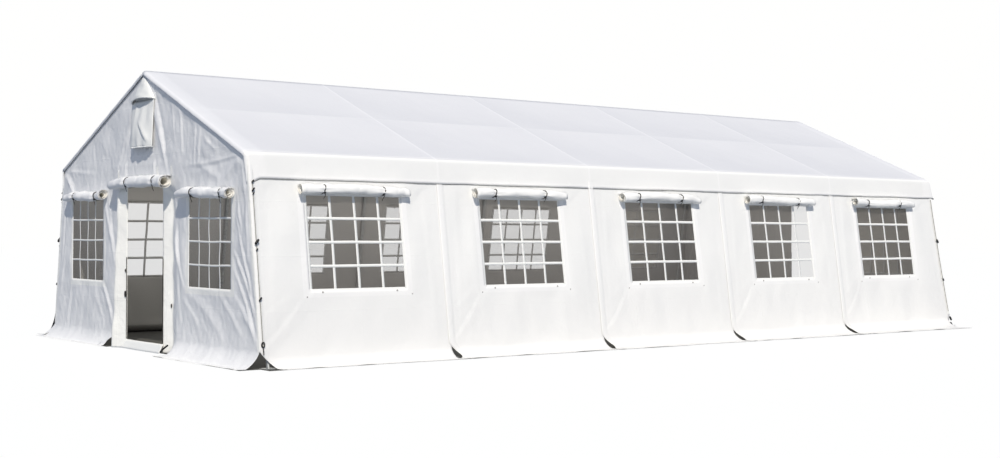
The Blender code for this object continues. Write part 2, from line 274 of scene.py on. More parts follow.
def waves(a, b, size, seed):
    """Sum of twelve plane waves about size long, in random directions, divided by the root of six."""
    rng = np.random.default_rng(seed)
    total = np.zeros(np.broadcast(a, b).shape)
    for _ in range(12):
        heading, phase = rng.uniform(0, np.pi), rng.uniform(0, 2 * np.pi)
        pace = 2 * np.pi / (size * rng.uniform(0.6, 1.7))
        total = total + np.sin(pace * (a * np.cos(heading) + b * np.sin(heading)) + phase)
    return total / math.sqrt(6)


def wander(a, size, seed):
    """The same waves along one line."""
    return waves(a, 0 * a, size, seed)


def fold(a, b, from_a, from_b, to_a, to_b, width, height, bow=0.0, side=1):
    """A ridge from one point to another with a valley on one side, or on the other where side is -1.

    Across the line it is a pointed crest, which falls off as e to the minus distance, less half a bell one
    and a half widths further on. Along the line it swells and dies away as the root of a half sine. bow
    bends the line sideways, as a share of its length.
    """
    line_a, line_b = to_a - from_a, to_b - from_b
    length = math.hypot(line_a, line_b)
    share = ((a - from_a) * line_a + (b - from_b) * line_b) / length ** 2
    swell = np.sin(np.pi * np.clip(share, 0.0, 1.0))
    q = side * (((a - from_a) * line_b - (b - from_b) * line_a) / length) - bow * side * length * swell
    q = q / width
    crest = np.exp(-1.5 * (np.sqrt(q ** 2 + 0.08) - 0.28))
    return height * np.sqrt(swell) * (crest - 0.5 * np.exp(-(q - 1.5) ** 2))


def inside(a, b, box, soft):
    """1 inside a box (low a, high a, low b, high b), falling to 0 over a distance soft outside it."""
    low_a, high_a, low_b, high_b = box
    out = np.maximum(np.maximum(low_a - a, a - high_a), np.maximum(low_b - b, b - high_b))
    return 1.0 - smooth(out / soft)


def normals(points, towards):
    """Unit normals of a grid of points: its two directions crossed, turned to look towards a direction."""
    n = np.cross(np.gradient(points, axis=0), np.gradient(points, axis=1))
    n /= np.maximum(np.linalg.norm(n, axis=-1, keepdims=True), 1e-9)
    return n * np.where((n * np.asarray(towards)).sum(-1, keepdims=True) < 0, -1.0, 1.0)


# %% [markdown]
# ## Materials
#
# Each finish is one Principled shader with a few nodes in front of it. Colours are the sRGB hex values that
# a picture editor shows, and one function turns them to the linear numbers that Blender mixes light with.
# Patterns read Object coordinates, which are metres here, so a pattern's scale is a real length.

# %% Colour and node helpers
WAVE_LENGTH = 0.3142    # length of a Wave texture's band at scale 1, in metres


def linear(hex_code):
    """An sRGB hex colour as linear red, green, blue and 1."""
    channels = [int(hex_code[i:i + 2], 16) / 255 for i in (1, 3, 5)]
    return (*[c / 12.92 if c <= 0.04045 else ((c + 0.055) / 1.055) ** 2.4 for c in channels], 1.0)


def add(tree, kind, links=None, output=0, **settings):
    """Adds a shader node and gives one of its outputs.

    settings are its own properties, and links its sockets: another socket to join, or a value.
    """
    node = tree.nodes.new("ShaderNode" + kind)
    for key, value in settings.items():
        setattr(node, key, value)
    for key, value in (links or {}).items():
        if isinstance(value, bpy.types.NodeSocket):
            tree.links.new(value, node.inputs[key])
        else:
            node.inputs[key].default_value = value
    return node.outputs[output] if len(node.outputs) else None


def calc(tree, operation, *values):
    """The result of a Math node."""
    return add(tree, "Math", dict(enumerate(values)), operation=operation)


def noise(tree, place, scale, **links):
    """A Noise texture's factor."""
    return add(tree, "TexNoise", {"Vector": place, "Scale": scale, **links})


def bands(tree, place, spacing, axis):
    """Bands across an axis, one every spacing."""
    scale = WAVE_LENGTH / spacing
    return add(tree, "TexWave", {"Vector": place, "Scale": scale}, "Fac", bands_direction=axis)


def mixed(tree, share, low, high):
    """A colour between two, each a hex code or a socket."""
    low, high = (linear(colour) if isinstance(colour, str) else colour for colour in (low, high))
    return add(tree, "Mix", {"Factor": share, 6: low, 7: high}, 2, data_type="RGBA")


def finish(name, **sockets):
    """A new material with its Principled shader's constants set, as (material, tree, shader, place).

    place is the point in Object coordinates.
    """
    look = bpy.data.materials.new(name)
    look.use_nodes = True
    tree = look.node_tree
    shader = tree.nodes["Principled BSDF"]
    for key, value in sockets.items():
        shader.inputs[key.replace("_", " ")].default_value = value
    return look, tree, shader, add(tree, "TexCoord", output="Object")


def surface(tree, shader, colour, height=None, distance=1.0, strength=1.0):
    """Joins a colour, and a height as bump, to a shader."""
    tree.links.new(colour, shader.inputs["Base Color"])
    if height:
        bump = add(tree, "Bump", {"Height": height, "Distance": distance, "Strength": strength})
        tree.links.new(bump, shader.inputs["Normal"])


# %% [markdown]
# ### Coated sheeting
#
# The sheets are woven polyester with a plastic coat on both sides. The coat gives a soft, even sheen and
# hides most of the weave. The cloth shows where it was folded in its bag: straight creases about half a
# metre apart. Between them it is crinkled, in wrinkles a few centimetres long and a millimetre or two high.
# Both are bump, in true metres.

# %% Coated sheeting
WEAVE, THREAD = 0.006, 0.00005          # spacing and height of threads as drawn; real ones are 1 mm apart
PACKED = 0.5                            # spacing of the creases from packing
CREASE, CREASE_HALF = 0.0006, 0.008     # their height and half width


def coated_sheeting(name, face, shade, roughness, crinkle=None, welded=None, gloss=0.5, ground_shade=None):
    """White coated cloth: a mottled colour, and a bump of crinkles, packing creases and a faint weave.

    Where two layers are welded together, less light goes through, so the cloth looks whiter there; on the roof
    the same lighter colour also paints a highlight along the purlin. The last colour is painted shade: the
    face is drawn darker near the ground. Without a crinkle this is the back of the cloth, which has no bump,
    and has
    painted shade: darker near the ground, lighter under the roof.
    """
    look, tree, shader, place = finish(name, Roughness=roughness, Specular_IOR_Level=gloss)
    split = add(tree, "SeparateXYZ", {"Vector": place}).node.outputs
    if crinkle is None:
        # Painted shade on the back of the cloth: darker towards the ground, lighter under the roof.
        up = add(tree, "MapRange", {"Value": split["Z"], "From Min": 0.2, "From Max": 1.8})
        surface(tree, shader, mixed(tree, up, shade, face))
        return look
    colour = mixed(tree, noise(tree, place, 1.7, Detail=4.0), shade, face)
    if welded:
        # The lighter colour is double cloth, and on the roof also a painted highlight along the purlin.
        colour = mixed(tree, add(tree, "Attribute", output="Fac", attribute_name="double"), colour, welded)
    # Painted shade: the face is mixed towards a darker colour near the ground.
    if ground_shade:
        low = add(tree, "MapRange", {"Value": split["Z"], "From Min": 1.0, "From Max": 0.1})
        colour = mixed(tree, low, colour, ground_shade)
    broad = noise(tree, place, 7.0, Detail=3.0, Distortion=0.8)
    fine = noise(tree, place, 26.0, Detail=4.0, Distortion=0.4)
    high = calc(tree, "MULTIPLY_ADD", fine, crinkle * 0.30, calc(tree, "MULTIPLY", broad, crinkle))
    for axis in "XYZ":
        near = calc(tree, "PINGPONG", split[axis], PACKED / 2)
        links = {"Value": near, "From Max": CREASE_HALF, "To Min": CREASE, "To Max": 0.0}
        high = calc(tree, "ADD", high, add(tree, "MapRange", links, interpolation_type="SMOOTHSTEP"))
    for axis in "XZ":
        high = calc(tree, "MULTIPLY_ADD", bands(tree, place, WEAVE, axis), THREAD, high)
    surface(tree, shader, colour, high)
    return look


# The walls' face gets painted shade near the ground: a darker colour low down.
wall_face = coated_sheeting("coated_polyester_wall", "#f6f6f3", "#f1f2f0", 0.52, 0.0034, welded="#f9f9f7",
                            gloss=0.3, ground_shade="#ececea")
gable_face = coated_sheeting("coated_polyester_gable", "#f3f4f4", "#eaebec", 0.50, 0.008, welded="#fbfbf6")
# The roof's face is greyer than the walls': partly the cloth's own tone, partly painted shade.
roof_face = coated_sheeting("coated_polyester_roof", "#e5e6e8", "#e0e1e4", 0.50, 0.0025, welded="#ebecee")
# The back of the cloth is a dim grey, painted shade for the room inside; the lining below gets the same
# painted shade, darker towards the ground.
shaded_cloth_back = coated_sheeting("cloth_back_painted_shade", "#c6c4c0", "#a3a19c", 0.75)
cream_back = coated_sheeting("cream_cover_lining", "#f0ede4", "#e2dfd3", 0.70)
band_face = coated_sheeting("welded_white_band", "#f8f9f5", "#f1f2ef", 0.42, 0.0015)

# %% [markdown]
# ### Clear film, steel and elastic
#
# The windows are soft clear film with a fine reinforcing grid, and years of handling have made it hazy: it
# passes most of the light and scatters the rest. Alpha says how much it scatters. The tubes are zinc-coated
# steel, whose coat cools in crystals a centimetre or two across. The ties are black elastic cord with
# moulded balls.

# %% Film, steel and elastic
GRID = 0.012            # spacing of the film's reinforcing grid as drawn; the real one is about 6 mm

film, tree, shader, place = finish("reinforced_clear_film", Roughness=0.22, Alpha=0.15, IOR=1.53)
grid = calc(tree, "MAXIMUM", bands(tree, place, GRID, "Z"), bands(tree, place, GRID, "X"))
haze = calc(tree, "MULTIPLY", grid, noise(tree, place, 14.0, Detail=5.0))
slack = noise(tree, place, 5.0, Detail=2.0)
surface(tree, shader, mixed(tree, haze, "#7a7673", "#9a9591"), slack, 0.01, 0.6)

steel, tree, shader, place = finish("galvanised_steel_tube", Metallic=0.85, Roughness=0.5)
crystal = add(tree, "TexVoronoi", {"Vector": place, "Scale": 60.0}, "Color")
surface(tree, shader, mixed(tree, add(tree, "SeparateColor", {"Color": crystal}), "#b4b6b5", "#d6d8d6"))


def speckled(name, roughness, scale, low, high):
    """A plain material that is mottled between two colours."""
    look, tree, shader, place = finish(name, Roughness=roughness)
    surface(tree, shader, mixed(tree, noise(tree, place, scale), low, high))
    return look


elastic = speckled("black_elastic_cord", 0.75, 300.0, "#0d0d0e", "#2a2a2b")
grey_cord = speckled("grey_polyester_cord", 0.8, 120.0, "#77766f", "#9c9b94")
stud = speckled("grey_moulded_stud", 0.4, 90.0, "#a09f9c", "#bdbcb9")

for name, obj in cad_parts.items():
    if name.startswith("portal_frame") or name.endswith("purlin"):
        obj.data.materials.clear()
        obj.data.materials.append(steel)
print("materials", len(bpy.data.materials))

# Each kind of cloth with its back, and two ways of building: a sheet that takes the place of solids, and
# round pieces in one material.
ROOF, WALL, GABLE, BAND = ([face, shaded_cloth_back] for face in (roof_face, wall_face, gable_face, band_face))


def sheeting(name, parts, looks, nodes):
    """A sheet of cloth that replaces some nodes."""
    return build(name, parts, looks, CLOTH, nodes)


def round_pieces(name, parts, look=elastic):
    """Bars, balls and rings as one piece."""
    return build(name, parts, [look], closed=True)


# %% [markdown]
# ## The roof
#
# One long sheet covers the frame and is pulled down over the eave tubes. It touches only the tubes, so it
# sags a little in each field between two rafters and two purlins. Where two widths of cloth are welded
# together, over each rafter, the cloth is double, and it shows as a lighter strip. The valance is the part
# that hangs below the eave.

# %% Roof sheets and valances
EAVE_ROUND = 0.045          # radius of the bend over the eave tube
PURLIN_Y = 1.101            # the purlin halfway down each slope
SAG = 0.032
SEAMS = np.array([-3.0, -1.0, 1.0, 3.0])
SEAM_HALF = 0.014
END_BAND = 0.21             # the strip of double cloth at each end
END_X, END_HEM = 5.112, 0.008           # where the turned-down ends reach, and the depth of their hem
END_R, END_LEAN = 0.040, 0.007          # radius of that turn, and how far the hem leans back to the gable
TURN_X = END_X - END_R


def eave_bend(count):
    """Points of the bend from the slope into the valance: a circle's arc that touches both lines."""
    fall = np.array([math.cos(PITCH), -math.sin(PITCH)])
    drop = np.array([VALANCE_Y - EAVE_Y, VALANCE_Z - EAVE_Z])
    drop /= np.linalg.norm(drop)
    turn = math.acos(float(fall @ drop))
    inward = np.array([fall[1], -fall[0]])
    centre = np.array([EAVE_Y, EAVE_Z]) - fall * EAVE_ROUND * math.tan(turn / 2) + inward * EAVE_ROUND
    angle = np.linspace(0, turn, count)[:, None]
    return centre + EAVE_ROUND * (-inward * np.cos(angle) + fall * np.sin(angle))


BEND = eave_bend(9)


def turned_ends(x):
    """Columns along the roof with both ends turned down, as (x, drop): how far each one has gone inwards.

    Past TURN_X the cloth follows a quarter of a circle, and then a straight hem that leans back to the
    gable.
    """
    angle = np.linspace(0, np.pi / 2, 8)[1:]
    out = np.append(TURN_X + END_R * np.sin(angle), END_X - END_LEAN)
    drop = np.append(END_R * (1 - np.cos(angle)), END_R + END_HEM)
    return np.concatenate([-out[::-1], x, out]), np.concatenate([drop[::-1], 0 * x, drop])


def seam_lines(*shares):
    """Grid lines along every weld over a rafter, at these shares of its half width from its middle."""
    return [seam + share * SEAM_HALF for seam in SEAMS for share in shares]


def roof_relief(x, y):
    """The sag between the tubes: a parabola along the roof times one down the slope, each 0 over a tube."""
    u = 2 * (np.clip((x + HALF) / BAY, 0, BAYS - 1e-6) % 1) - 1
    v = 2 * (np.clip(y / PURLIN_Y, 0, 2 - 1e-6) % 1) - 1
    field = (1 - u ** 2) * (1 - v ** 2)
    end = smooth((np.abs(x) - ROOF_END + END_BAND) / 0.05) * smooth(y / 0.2)
    end = end * smooth((EAVE_Y - 0.05 - y) / 0.2)
    return field * (-SAG + 0.0010 * waves(x, y, 0.35, 11)) + 0.0010 * end * waves(x * 0.4, y, 0.12, 12)


def whiter_roof_cloth(x, y):
    """1 over the welds, a strip over each rafter and the band at each end, and 0.45 along the purlin, where it
    is a painted highlight.
    """
    strip = sum(smooth(1.5 - np.abs(x - seam) / SEAM_HALF) for seam in SEAMS)
    # Painted highlight: the cloth is drawn whiter along the purlin, where it rests on the tube; there is no
    # weld there.
    purlin = 0.45 * smooth(1.5 - np.abs(y - PURLIN_Y) / 0.010)
    end = 0.75 * smooth((np.abs(x) - ROOF_END + END_BAND) / 0.06)
    return np.clip(np.maximum(np.maximum(strip, purlin), end), 0, 1)


def roof_slope(side, word):
    """One slope: the line from the ridge to the eave's bend, carried along the tent, with its relief."""
    foot = BEND[0, 0]
    y = graded([0.0, PURLIN_Y - 0.02, PURLIN_Y, PURLIN_Y + 0.02, foot], 0.056)
    x, drop = turned_ends(graded([-TURN_X, -ROOF_END + END_BAND, *seam_lines(-1.5, -0.5, 0.0, 0.5, 1.5),
                                  ROOF_END - END_BAND, TURN_X], 0.060))
    x, y = np.meshgrid(x, y)
    weld = 0.001 * whiter_roof_cloth(x, y) * smooth((foot - y) / 0.05)
    lean = smooth(y / 0.25)
    z = roof_z(y) + (roof_relief(x, y) + weld) / math.cos(PITCH) - drop * (1 - lean + lean * math.cos(PITCH))
    points = stacked(x, side * (y - drop * lean * math.sin(PITCH)), z)
    sheet = sheeting(f"roof_{word}_sheet", [cells_of(points, (0, 0, 1), double=whiter_roof_cloth(x, y))], ROOF,
                     [f"roof_{word}_slope"])
    return points


def valance(side, word, seed):
    """The bend over the eave and the hanging strip, whose lower edge waves a little between the rafters.

    The ends go inwards, square to the section: its direction along each row, turned by a quarter. In the
    photo the lower corners spread a little, and the near one is drawn down.
    """
    hang = BEND[-1] + ((VALANCE_Y, VALANCE_Z) - BEND[-1]) * np.linspace(0, 1, 10)[1:, None]
    section = np.concatenate([BEND, hang])
    x, drop = turned_ends(graded([-TURN_X, *seam_lines(-1.5, 0.0, 1.5), TURN_X], 0.045))
    x, down = np.meshgrid(x, np.clip((section[:, 1] - EAVE_Z) / (VALANCE_Z - EAVE_Z), 0, 1))
    hem = smooth((down - 0.86) / 0.04)
    out = down ** 1.5 * (-0.006 + 0.0012 * wander(x, 0.7, seed)) + 0.0012 * hem
    out = out + 0.0012 * smooth(1.6 - np.abs(x[..., None] - SEAMS) / SEAM_HALF).sum(-1)
    rise = down * (0.003 * np.sin(np.pi * (x + HALF) / BAY) ** 2 + 0.0015 * wander(x, 0.5, seed + 1))
    spread = 0.02 * smooth((-x - 4.9) / 0.2)
    if side < 0:
        rise = rise - 0.045 * down * smooth((-x - 4.98) / 0.12)
        spread = spread + 0.045 * smooth((x - 4.85) / 0.25)
    way = np.gradient(section, axis=0)
    way[0] = math.cos(PITCH), -math.sin(PITCH)
    way /= np.linalg.norm(way, axis=1, keepdims=True)
    points = stacked(x + down * spread, side * (section[:, :1] + out + drop * way[:, 1:]),
                     section[:, 1:] + rise - drop * way[:, :1])
    double = np.maximum(whiter_roof_cloth(x, 0.0), hem)
    sheet = sheeting(f"{word}_valance_sheet", [cells_of(points, (0, side, 0.3), double=double)], WALL,
                     [f"{word}_valance"])
    return points


HEM_CORD, KNOT = 0.0021, 0.010          # radii of the cord below a valance and of the knots at its ends
roof_ends = {}
for side, word in SIDES:
    slope, hang = roof_slope(side, word), valance(side, word, 26 + 5 * side)
    roof_ends[word] = np.concatenate([slope[:, (0, -1)], hang[1:, (0, -1)]])
    line = hang[-1, 5:-5] + (0.0, 0.0, -0.004)
    round_pieces(f"{word}_hem_cord", [bar(line, HEM_CORD, 6)], grey_cord)
    knots = [ball(spot, np.array([0, 0, KNOT]), KNOT, (1, 0, 0)) for spot in line[[0, -1]]]
    round_pieces(f"{word}_hem_knots", knots)

# %% [markdown]
# The ends of the roof turn down over the gable and finish in a hem. Its soft round edge is a thin bar, whose
# path is the last column of both slopes and both valances.

# %% Hems at the ends of the roof
HEM_R = 0.0022
for index, (_, word) in enumerate(ENDS):
    line = np.concatenate([roof_ends["front"][::-1, index], roof_ends["rear"][1:, index]])
    round_pieces(f"{word}_roof_hem", [bar(line, HEM_R, lean=(1, 0, 0))], roof_face)

# %% [markdown]
# ## The long walls
#
# Each bay has a panel that is laced to the posts. It hangs straight from under the valance, turns outwards
# near the ground and ends in a skirt that lies flat. The skirts of two bays part at the post in a narrow
# slit. The posts and the window's corners pull the cloth, so shallow folds run between them. The panel is
# one grid, rows down the wall and columns along it, with extra lines at the window's edges so that the
# opening has crisp borders.

# %% Wall panels
FOLD_Z = 0.10               # where a long wall turns outwards
BORDER = 0.062              # width of the welded band round a window
EDGE = LONG_PANE + BORDER   # its outer edge, from the bay's middle
LACE = 0.955                # the inner edge of the strip along a panel's lacing
BORDER_Z = (PANE_Z[0] - BORDER - 0.005, PANE_Z[0] - BORDER)     # two rows of a grid at the band's lower edge
FLARE = {-1: 0.0, 1: 0.12}  # how far the foot of each gable stands out from its top
SLIT, SLIT_TOP = 0.130, 0.140           # a slit opens on one side only: the panel before it hangs straight
CORNER_HALF, CORNER_TOP = 0.13, 0.148


def gable_flare(end, z):
    """How far a gable's corner stands out at a height: nothing at the eave, and more towards the ground."""
    return FLARE[end] * np.clip(1 - z / WALL_TOP_Z, 0, 1) ** 1.5


def wall_relief(u, z, seed):
    """How far a long wall's cloth stands off its plane. u is the distance along the bay from its middle."""
    window = inside(u, z, (-LONG_PANE, LONG_PANE, PANE_Z[0], PANE_Z[1] + 0.16), 0.12)
    slack = 0.0045 * waves(u, z * 0.6, 0.8, seed) + 0.0020 * waves(u, z * 0.5, 0.28, seed + 1)
    relief = slack * smooth((1 - np.abs(u)) / 0.25) + fold(u, z, -0.95, 1.19, 0.95, 1.17, 0.02, 0.0018)
    for hand, strong in ((-1, 1.3), (1, 0.7)):
        away = hand * u
        for row in ((EDGE, 0.60, 0.97, 0.14, 0.020, 0.0060 * strong, 0.03),
                    (EDGE * 0.9, 0.58, 0.90, 0.14, 0.016, 0.0035), (EDGE, 0.72, 0.98, 0.42, 0.020, 0.0025),
                    (EDGE * 1.02, 1.52, 0.97, 1.80, 0.024, 0.0035 * (2 - strong)),
                    (0.80, 1.75, 0.86, 0.2, 0.030, 0.0025)):
            relief = relief + fold(away, z, *row, side=hand)
    relief = relief * (1 - 0.85 * window) * (1 - 0.7 * smooth((z - 1.60) / 0.10))
    return relief + 0.0022 * smooth((-u - 0.960) / 0.006)


def freed(z):
    """The share of the relief that is left near the ground."""
    return smooth((z - 0.06) / 0.12)


def welded(u, z):
    """1 on a wall panel's double cloth: its two laced edges, and the band round its window."""
    border = inside(u, z, (-EDGE, EDGE, PANE_Z[0] - BORDER, PANE_Z[1]), 0.005)
    return np.maximum(smooth((np.abs(u) - LACE) / 0.004), border)


REAR_SHIFTS = (-0.03, -0.06, -0.11, -0.29, 0.0)     # how far each rear window stands off its bay's middle


def slide(side, middle, u):
    """How far a rear panel's cloth is shifted with its window: fully beside it, and not at its edge."""
    shift = REAR_SHIFTS[int((middle + HALF) // BAY)] if side > 0 else 0.0
    return shift * np.clip((LACE - np.abs(u)) / 0.355, 0, 1)


def skirt_edge(side, x):
    """Distance of a skirt's outer edge from the middle. In the photo the front one spreads rightwards."""
    drift = 0.022 * x if side < 0 else 0.09 * smooth((-x - 4.3) / 0.8)
    return 2.782 + drift + 0.010 * wander(x, 0.9, 41 + side)


LAP = 0.03                  # how far each panel laps over the one before it
STEPS = {-1: (0.022, 0.026), 1: (0.032, 0.038)}     # grid steps along and up; the front folds are finer
REACH = 0.60                # the share of a skirt's breadth after which it lies on the ground


def skirt_height(top, share, power):
    """Height of a skirt that comes down from top: the share left to fall, raised to a power."""
    return LIE + (top - LIE) * np.clip(1 - share, 0, 1) ** power


def wall_panel(side, word, bay):
    """One panel with its skirt: a straight fall, a bend near the ground, and a strip that lies flat.

    At the corners of the tent the panel's edge follows the gable, and the skirt is drawn back from it.
    Elsewhere it is drawn back by half a slit.
    """
    middle, seed = -HALF + BAY * (bay + 0.5), 100 + 10 * bay + side
    at_corner = (bay == 0, bay == BAYS - 1)
    u = graded([-1.0 if at_corner[0] else -1.0 - LAP, -0.965, -LACE, -EDGE - 0.005, -EDGE, -LONG_PANE,
                LONG_PANE, EDGE, EDGE + 0.005, LACE, 0.96, 1], STEPS[side][0])
    fall = graded([FOLD_Z, *BORDER_Z, *PANE_Z, WALL_TOP_Z], STEPS[side][1])[::-1]
    lie = np.linspace(0, 1, 15)[1:]
    x = middle + u + slide(side, middle, u)
    outward, u_all = np.meshgrid(np.concatenate([0 * fall, lie]), u, indexing="ij")
    z_fall, out = np.meshgrid(fall, u, indexing="ij")[0], outward[len(fall):]
    y_lie = wall_y(FOLD_Z) + (skirt_edge(side, x)[None] - wall_y(FOLD_Z)) * out ** 1.5
    lift = 0.002 + 0.003 * np.maximum(waves(x[None], y_lie, 0.5, seed + 5), 0)
    z = np.concatenate([z_fall, skirt_height(FOLD_Z, out / REACH, 1.3) + lift * smooth((out - 0.7) / 0.3)])
    y = np.concatenate([wall_y(z_fall), y_lie])
    for hand, corner in zip((-1, 1), at_corner):
        if corner:
            gap = CORNER_HALF * np.clip(1 - z / CORNER_TOP, 0, 1) ** 1.05
            if side > 0:
                gap = gap * 0.3 - 0.11 * smooth(outward * 2)
            gap = gap - (GABLE_X - HALF - 0.004) - gable_flare(hand, z)
        else:
            gap = (SLIT if hand < 0 else 0.0) * np.clip(1 - z / SLIT_TOP, 0, 1) ** 0.9
            gap = gap * (1 - 0.8 * smooth((outward - 0.35) / 0.5))
        x = x - hand * smooth((hand * u_all - 0.45) / 0.55) * gap
    points = stacked(x, side * y, z)
    relief = wall_relief(u_all, z, seed) * freed(z) + 0.003 * smooth((-u_all - 0.96) / 0.006)
    points = points + normals(points, (0, side, 1.0)) * relief[..., None]
    mid_u, mid_z = (u[:-1] + u[1:]) / 2, (fall[:-1] + fall[1:]) / 2
    kept = np.ones((len(z) - 1, len(u) - 1), bool)
    kept[:len(mid_z)] = ~(((mid_z > PANE_Z[0]) & (mid_z < PANE_Z[1]))[:, None] & (np.abs(mid_u) < LONG_PANE))
    double = np.maximum(welded(u_all, z), smooth((outward - 0.88) / 0.03) * 0.6)
    name = f"{word}_wall_{bay + 1}"
    sheet = sheeting(f"{name}_sheet", [cells_of(points, (0, side, 1), kept, double=double)], WALL, [name])
    return side, middle, seed


def on_wall(panel, u, z, proud):
    """Points on the cloth of a long wall's panel, some way proud of it. panel is what wall_panel gave."""
    side, middle, seed = panel
    out = wall_relief(u, z, seed) * freed(z) + proud
    lean = math.atan(WALL_LEAN)
    return stacked(middle + u + slide(side, middle, u), side * (wall_y(z) + out * math.cos(lean)),
                   z + out * math.sin(lean))


walls = {(word, bay): wall_panel(side, word, bay) for side, word in SIDES for bay in range(BAYS)}
print("wall panels", len(walls))

# %% [markdown]
# ## The gables
#
# A gable's cloth is slack, and low sun rakes across it, so its folds are what the eye sees first. Long folds
# fan out from the apex, others run from the eaves, from the window's corners and down to the feet. One
# function of height and distance from the middle holds all of it, so that the top and the two side panels
# meet without a step. Beside the doorway the cloth stands up in a ridge: its inner face is the pale band
# that frames the doorway.

# %% Relief of a gable
APEX_FOLDS = (
    (-0.04, 2.82, -0.57, 1.78, 0.034, 0.017, 0.03), (-0.14, 2.74, -0.50, 1.98, 0.022, 0.011, 0.04),
    (-0.01, 2.80, -0.36, 2.20, 0.020, 0.008, 0.02), (0.05, 2.76, 0.68, 1.82, 0.030, 0.010, -0.03),
    (0.28, 2.48, 0.55, 1.84, 0.024, 0.008, -0.02), (0.10, 2.60, 0.86, 1.92, 0.040, 0.005, -0.02),
)
TOP_FOLDS = (
    (-0.84, 2.44, -0.90, 1.98, 0.018, 0.009), (-1.19, 2.30, -1.16, 1.86, 0.017, 0.010),
    (-1.30, 2.24, -1.25, 1.84, 0.014, 0.008), (-1.02, 2.38, -1.00, 2.02, 0.014, 0.005),
    (-0.66, 2.50, -0.74, 2.10, 0.016, 0.006), (-2.10, 1.93, -0.90, 1.86, 0.022, 0.007, 0.02),
    (-1.24, 1.88, -1.74, 1.69, 0.050, 0.011), (-1.42, 2.20, -1.86, 1.97, 0.028, 0.011, 0.03),
    (-1.36, 2.12, -1.62, 1.98, 0.024, 0.008), (-2.10, 1.90, -1.60, 1.60, 0.045, 0.009),
    (2.16, 1.87, 1.86, 1.60, 0.045, 0.016, 0.05), (2.10, 1.90, 1.20, 1.84, 0.024, 0.005),
    (1.35, 2.20, 1.30, 1.86, 0.030, 0.005), (0.46, 1.94, 0.46, 1.78, 0.030, 0.010),
    (-0.26, 1.94, -0.26, 1.78, 0.030, 0.010), (0.90, 1.90, -0.70, 1.91, 0.022, 0.005),
)
SIDE_FOLDS = (
    (-2.02, 1.36, -2.45, 0.22, 0.018, 0.013, 0.02), (-1.97, 1.06, -2.45, 0.33, 0.017, 0.015, 0.04),
    (-1.98, 0.89, -2.46, 0.16, 0.017, 0.015, 0.02), (-2.20, 0.50, -2.47, 0.15, 0.045, 0.012),
    (-1.99, 0.64, -2.38, 0.32, 0.026, 0.009), (-2.13, 1.86, -2.27, 0.95, 0.026, 0.010, 0.03),
    (-2.20, 1.70, -2.38, 0.62, 0.018, 0.009, 0.02), (-2.02, 1.62, -2.14, 1.15, 0.020, 0.007),
    (-0.70, 1.54, -0.86, 0.88, 0.028, 0.013, -0.05), (-0.76, 1.38, -0.97, 0.66, 0.022, 0.012, -0.06),
    (-0.84, 1.05, -0.88, 0.30, 0.026, 0.007, -0.05), (-1.04, 0.62, -1.82, 0.18, 0.060, 0.009, 0.06),
    (-0.90, 0.58, -1.30, 0.28, 0.030, 0.006, 0.04), (-1.70, 0.63, -2.18, 0.24, 0.030, 0.008, 0.02),
    (-1.30, 0.40, -1.50, 0.20, 0.025, 0.004), (1.07, 0.68, 0.79, 0.22, 0.030, 0.015, 0.05),
    (1.02, 1.54, 0.74, 0.86, 0.036, 0.015, 0.04), (0.92, 1.60, 0.80, 1.10, 0.022, 0.008),
    (1.97, 0.62, 2.11, 0.18, 0.034, 0.009), (2.16, 1.58, 2.27, 0.80, 0.026, 0.009),
    (2.10, 1.20, 2.34, 0.40, 0.022, 0.006), (1.30, 0.58, 1.02, 0.22, 0.040, 0.006),
)
JAMB_FALL = 0.09            # breadth of the back of the ridge beside the doorway


def jamb_relief(y, z):
    """The pale bands beside the doorway: slopes of pulled cloth that look towards the front.

    On the rear side the cloth rises in a straight line from the doorway to a crest and drops behind it. On
    the front side it falls in a straight line to a trough and comes back slowly. The ridge grows towards the
    ground.
    """
    low = np.clip(1 - z / 1.5, 0, 1) ** 1.2
    out = np.abs(y)
    crest = 0.518 + 0.038 * low
    rear = np.clip((out - 0.395) / (crest - 0.395), 0, 1) * (1 - smooth((out - crest) / JAMB_FALL))
    front = np.interp(out, (0.20, 0.45, 0.560, 0.78), (0.0, -0.008, -0.066, 0.0))
    height = np.where(y > 0, (0.066 + 0.034 * low) * rear, front)
    return height * (1 - smooth((z - 1.59) / 0.09)) * (1 + 0.07 * wander(z, 0.5, 77))


def gable_relief(y, z, seed):
    """How far a gable's cloth stands off its plane: folds, slack, and the ridges beside the doorway."""
    relief = np.zeros(np.broadcast(y, z).shape)
    for row in APEX_FOLDS + TOP_FOLDS + SIDE_FOLDS:
        relief = relief + fold(y, z, *row)
    relief = relief + 0.0040 * waves(y, z * 0.45, 0.45, seed) + 0.0016 * waves(y, z * 0.6, 0.14, seed + 1)
    relief = relief * (1 - 0.8 * inside(np.abs(y), z, (*GABLE_PANE_Y, *PANE_Z), 0.09))
    edge = np.minimum(roof_z(y) - 0.07 - z, wall_y(z) - 0.01 - np.abs(y))
    near_door = smooth((np.abs(y) - DOOR_HALF) / 0.1) + smooth((z - DOOR_TOP_Z - 0.02) / 0.1)
    held = smooth(edge / 0.10) * np.clip(near_door, 0, 1)
    return np.where(relief < 0, relief * held, relief * (0.12 + 0.88 * held)) + jamb_relief(y, z)


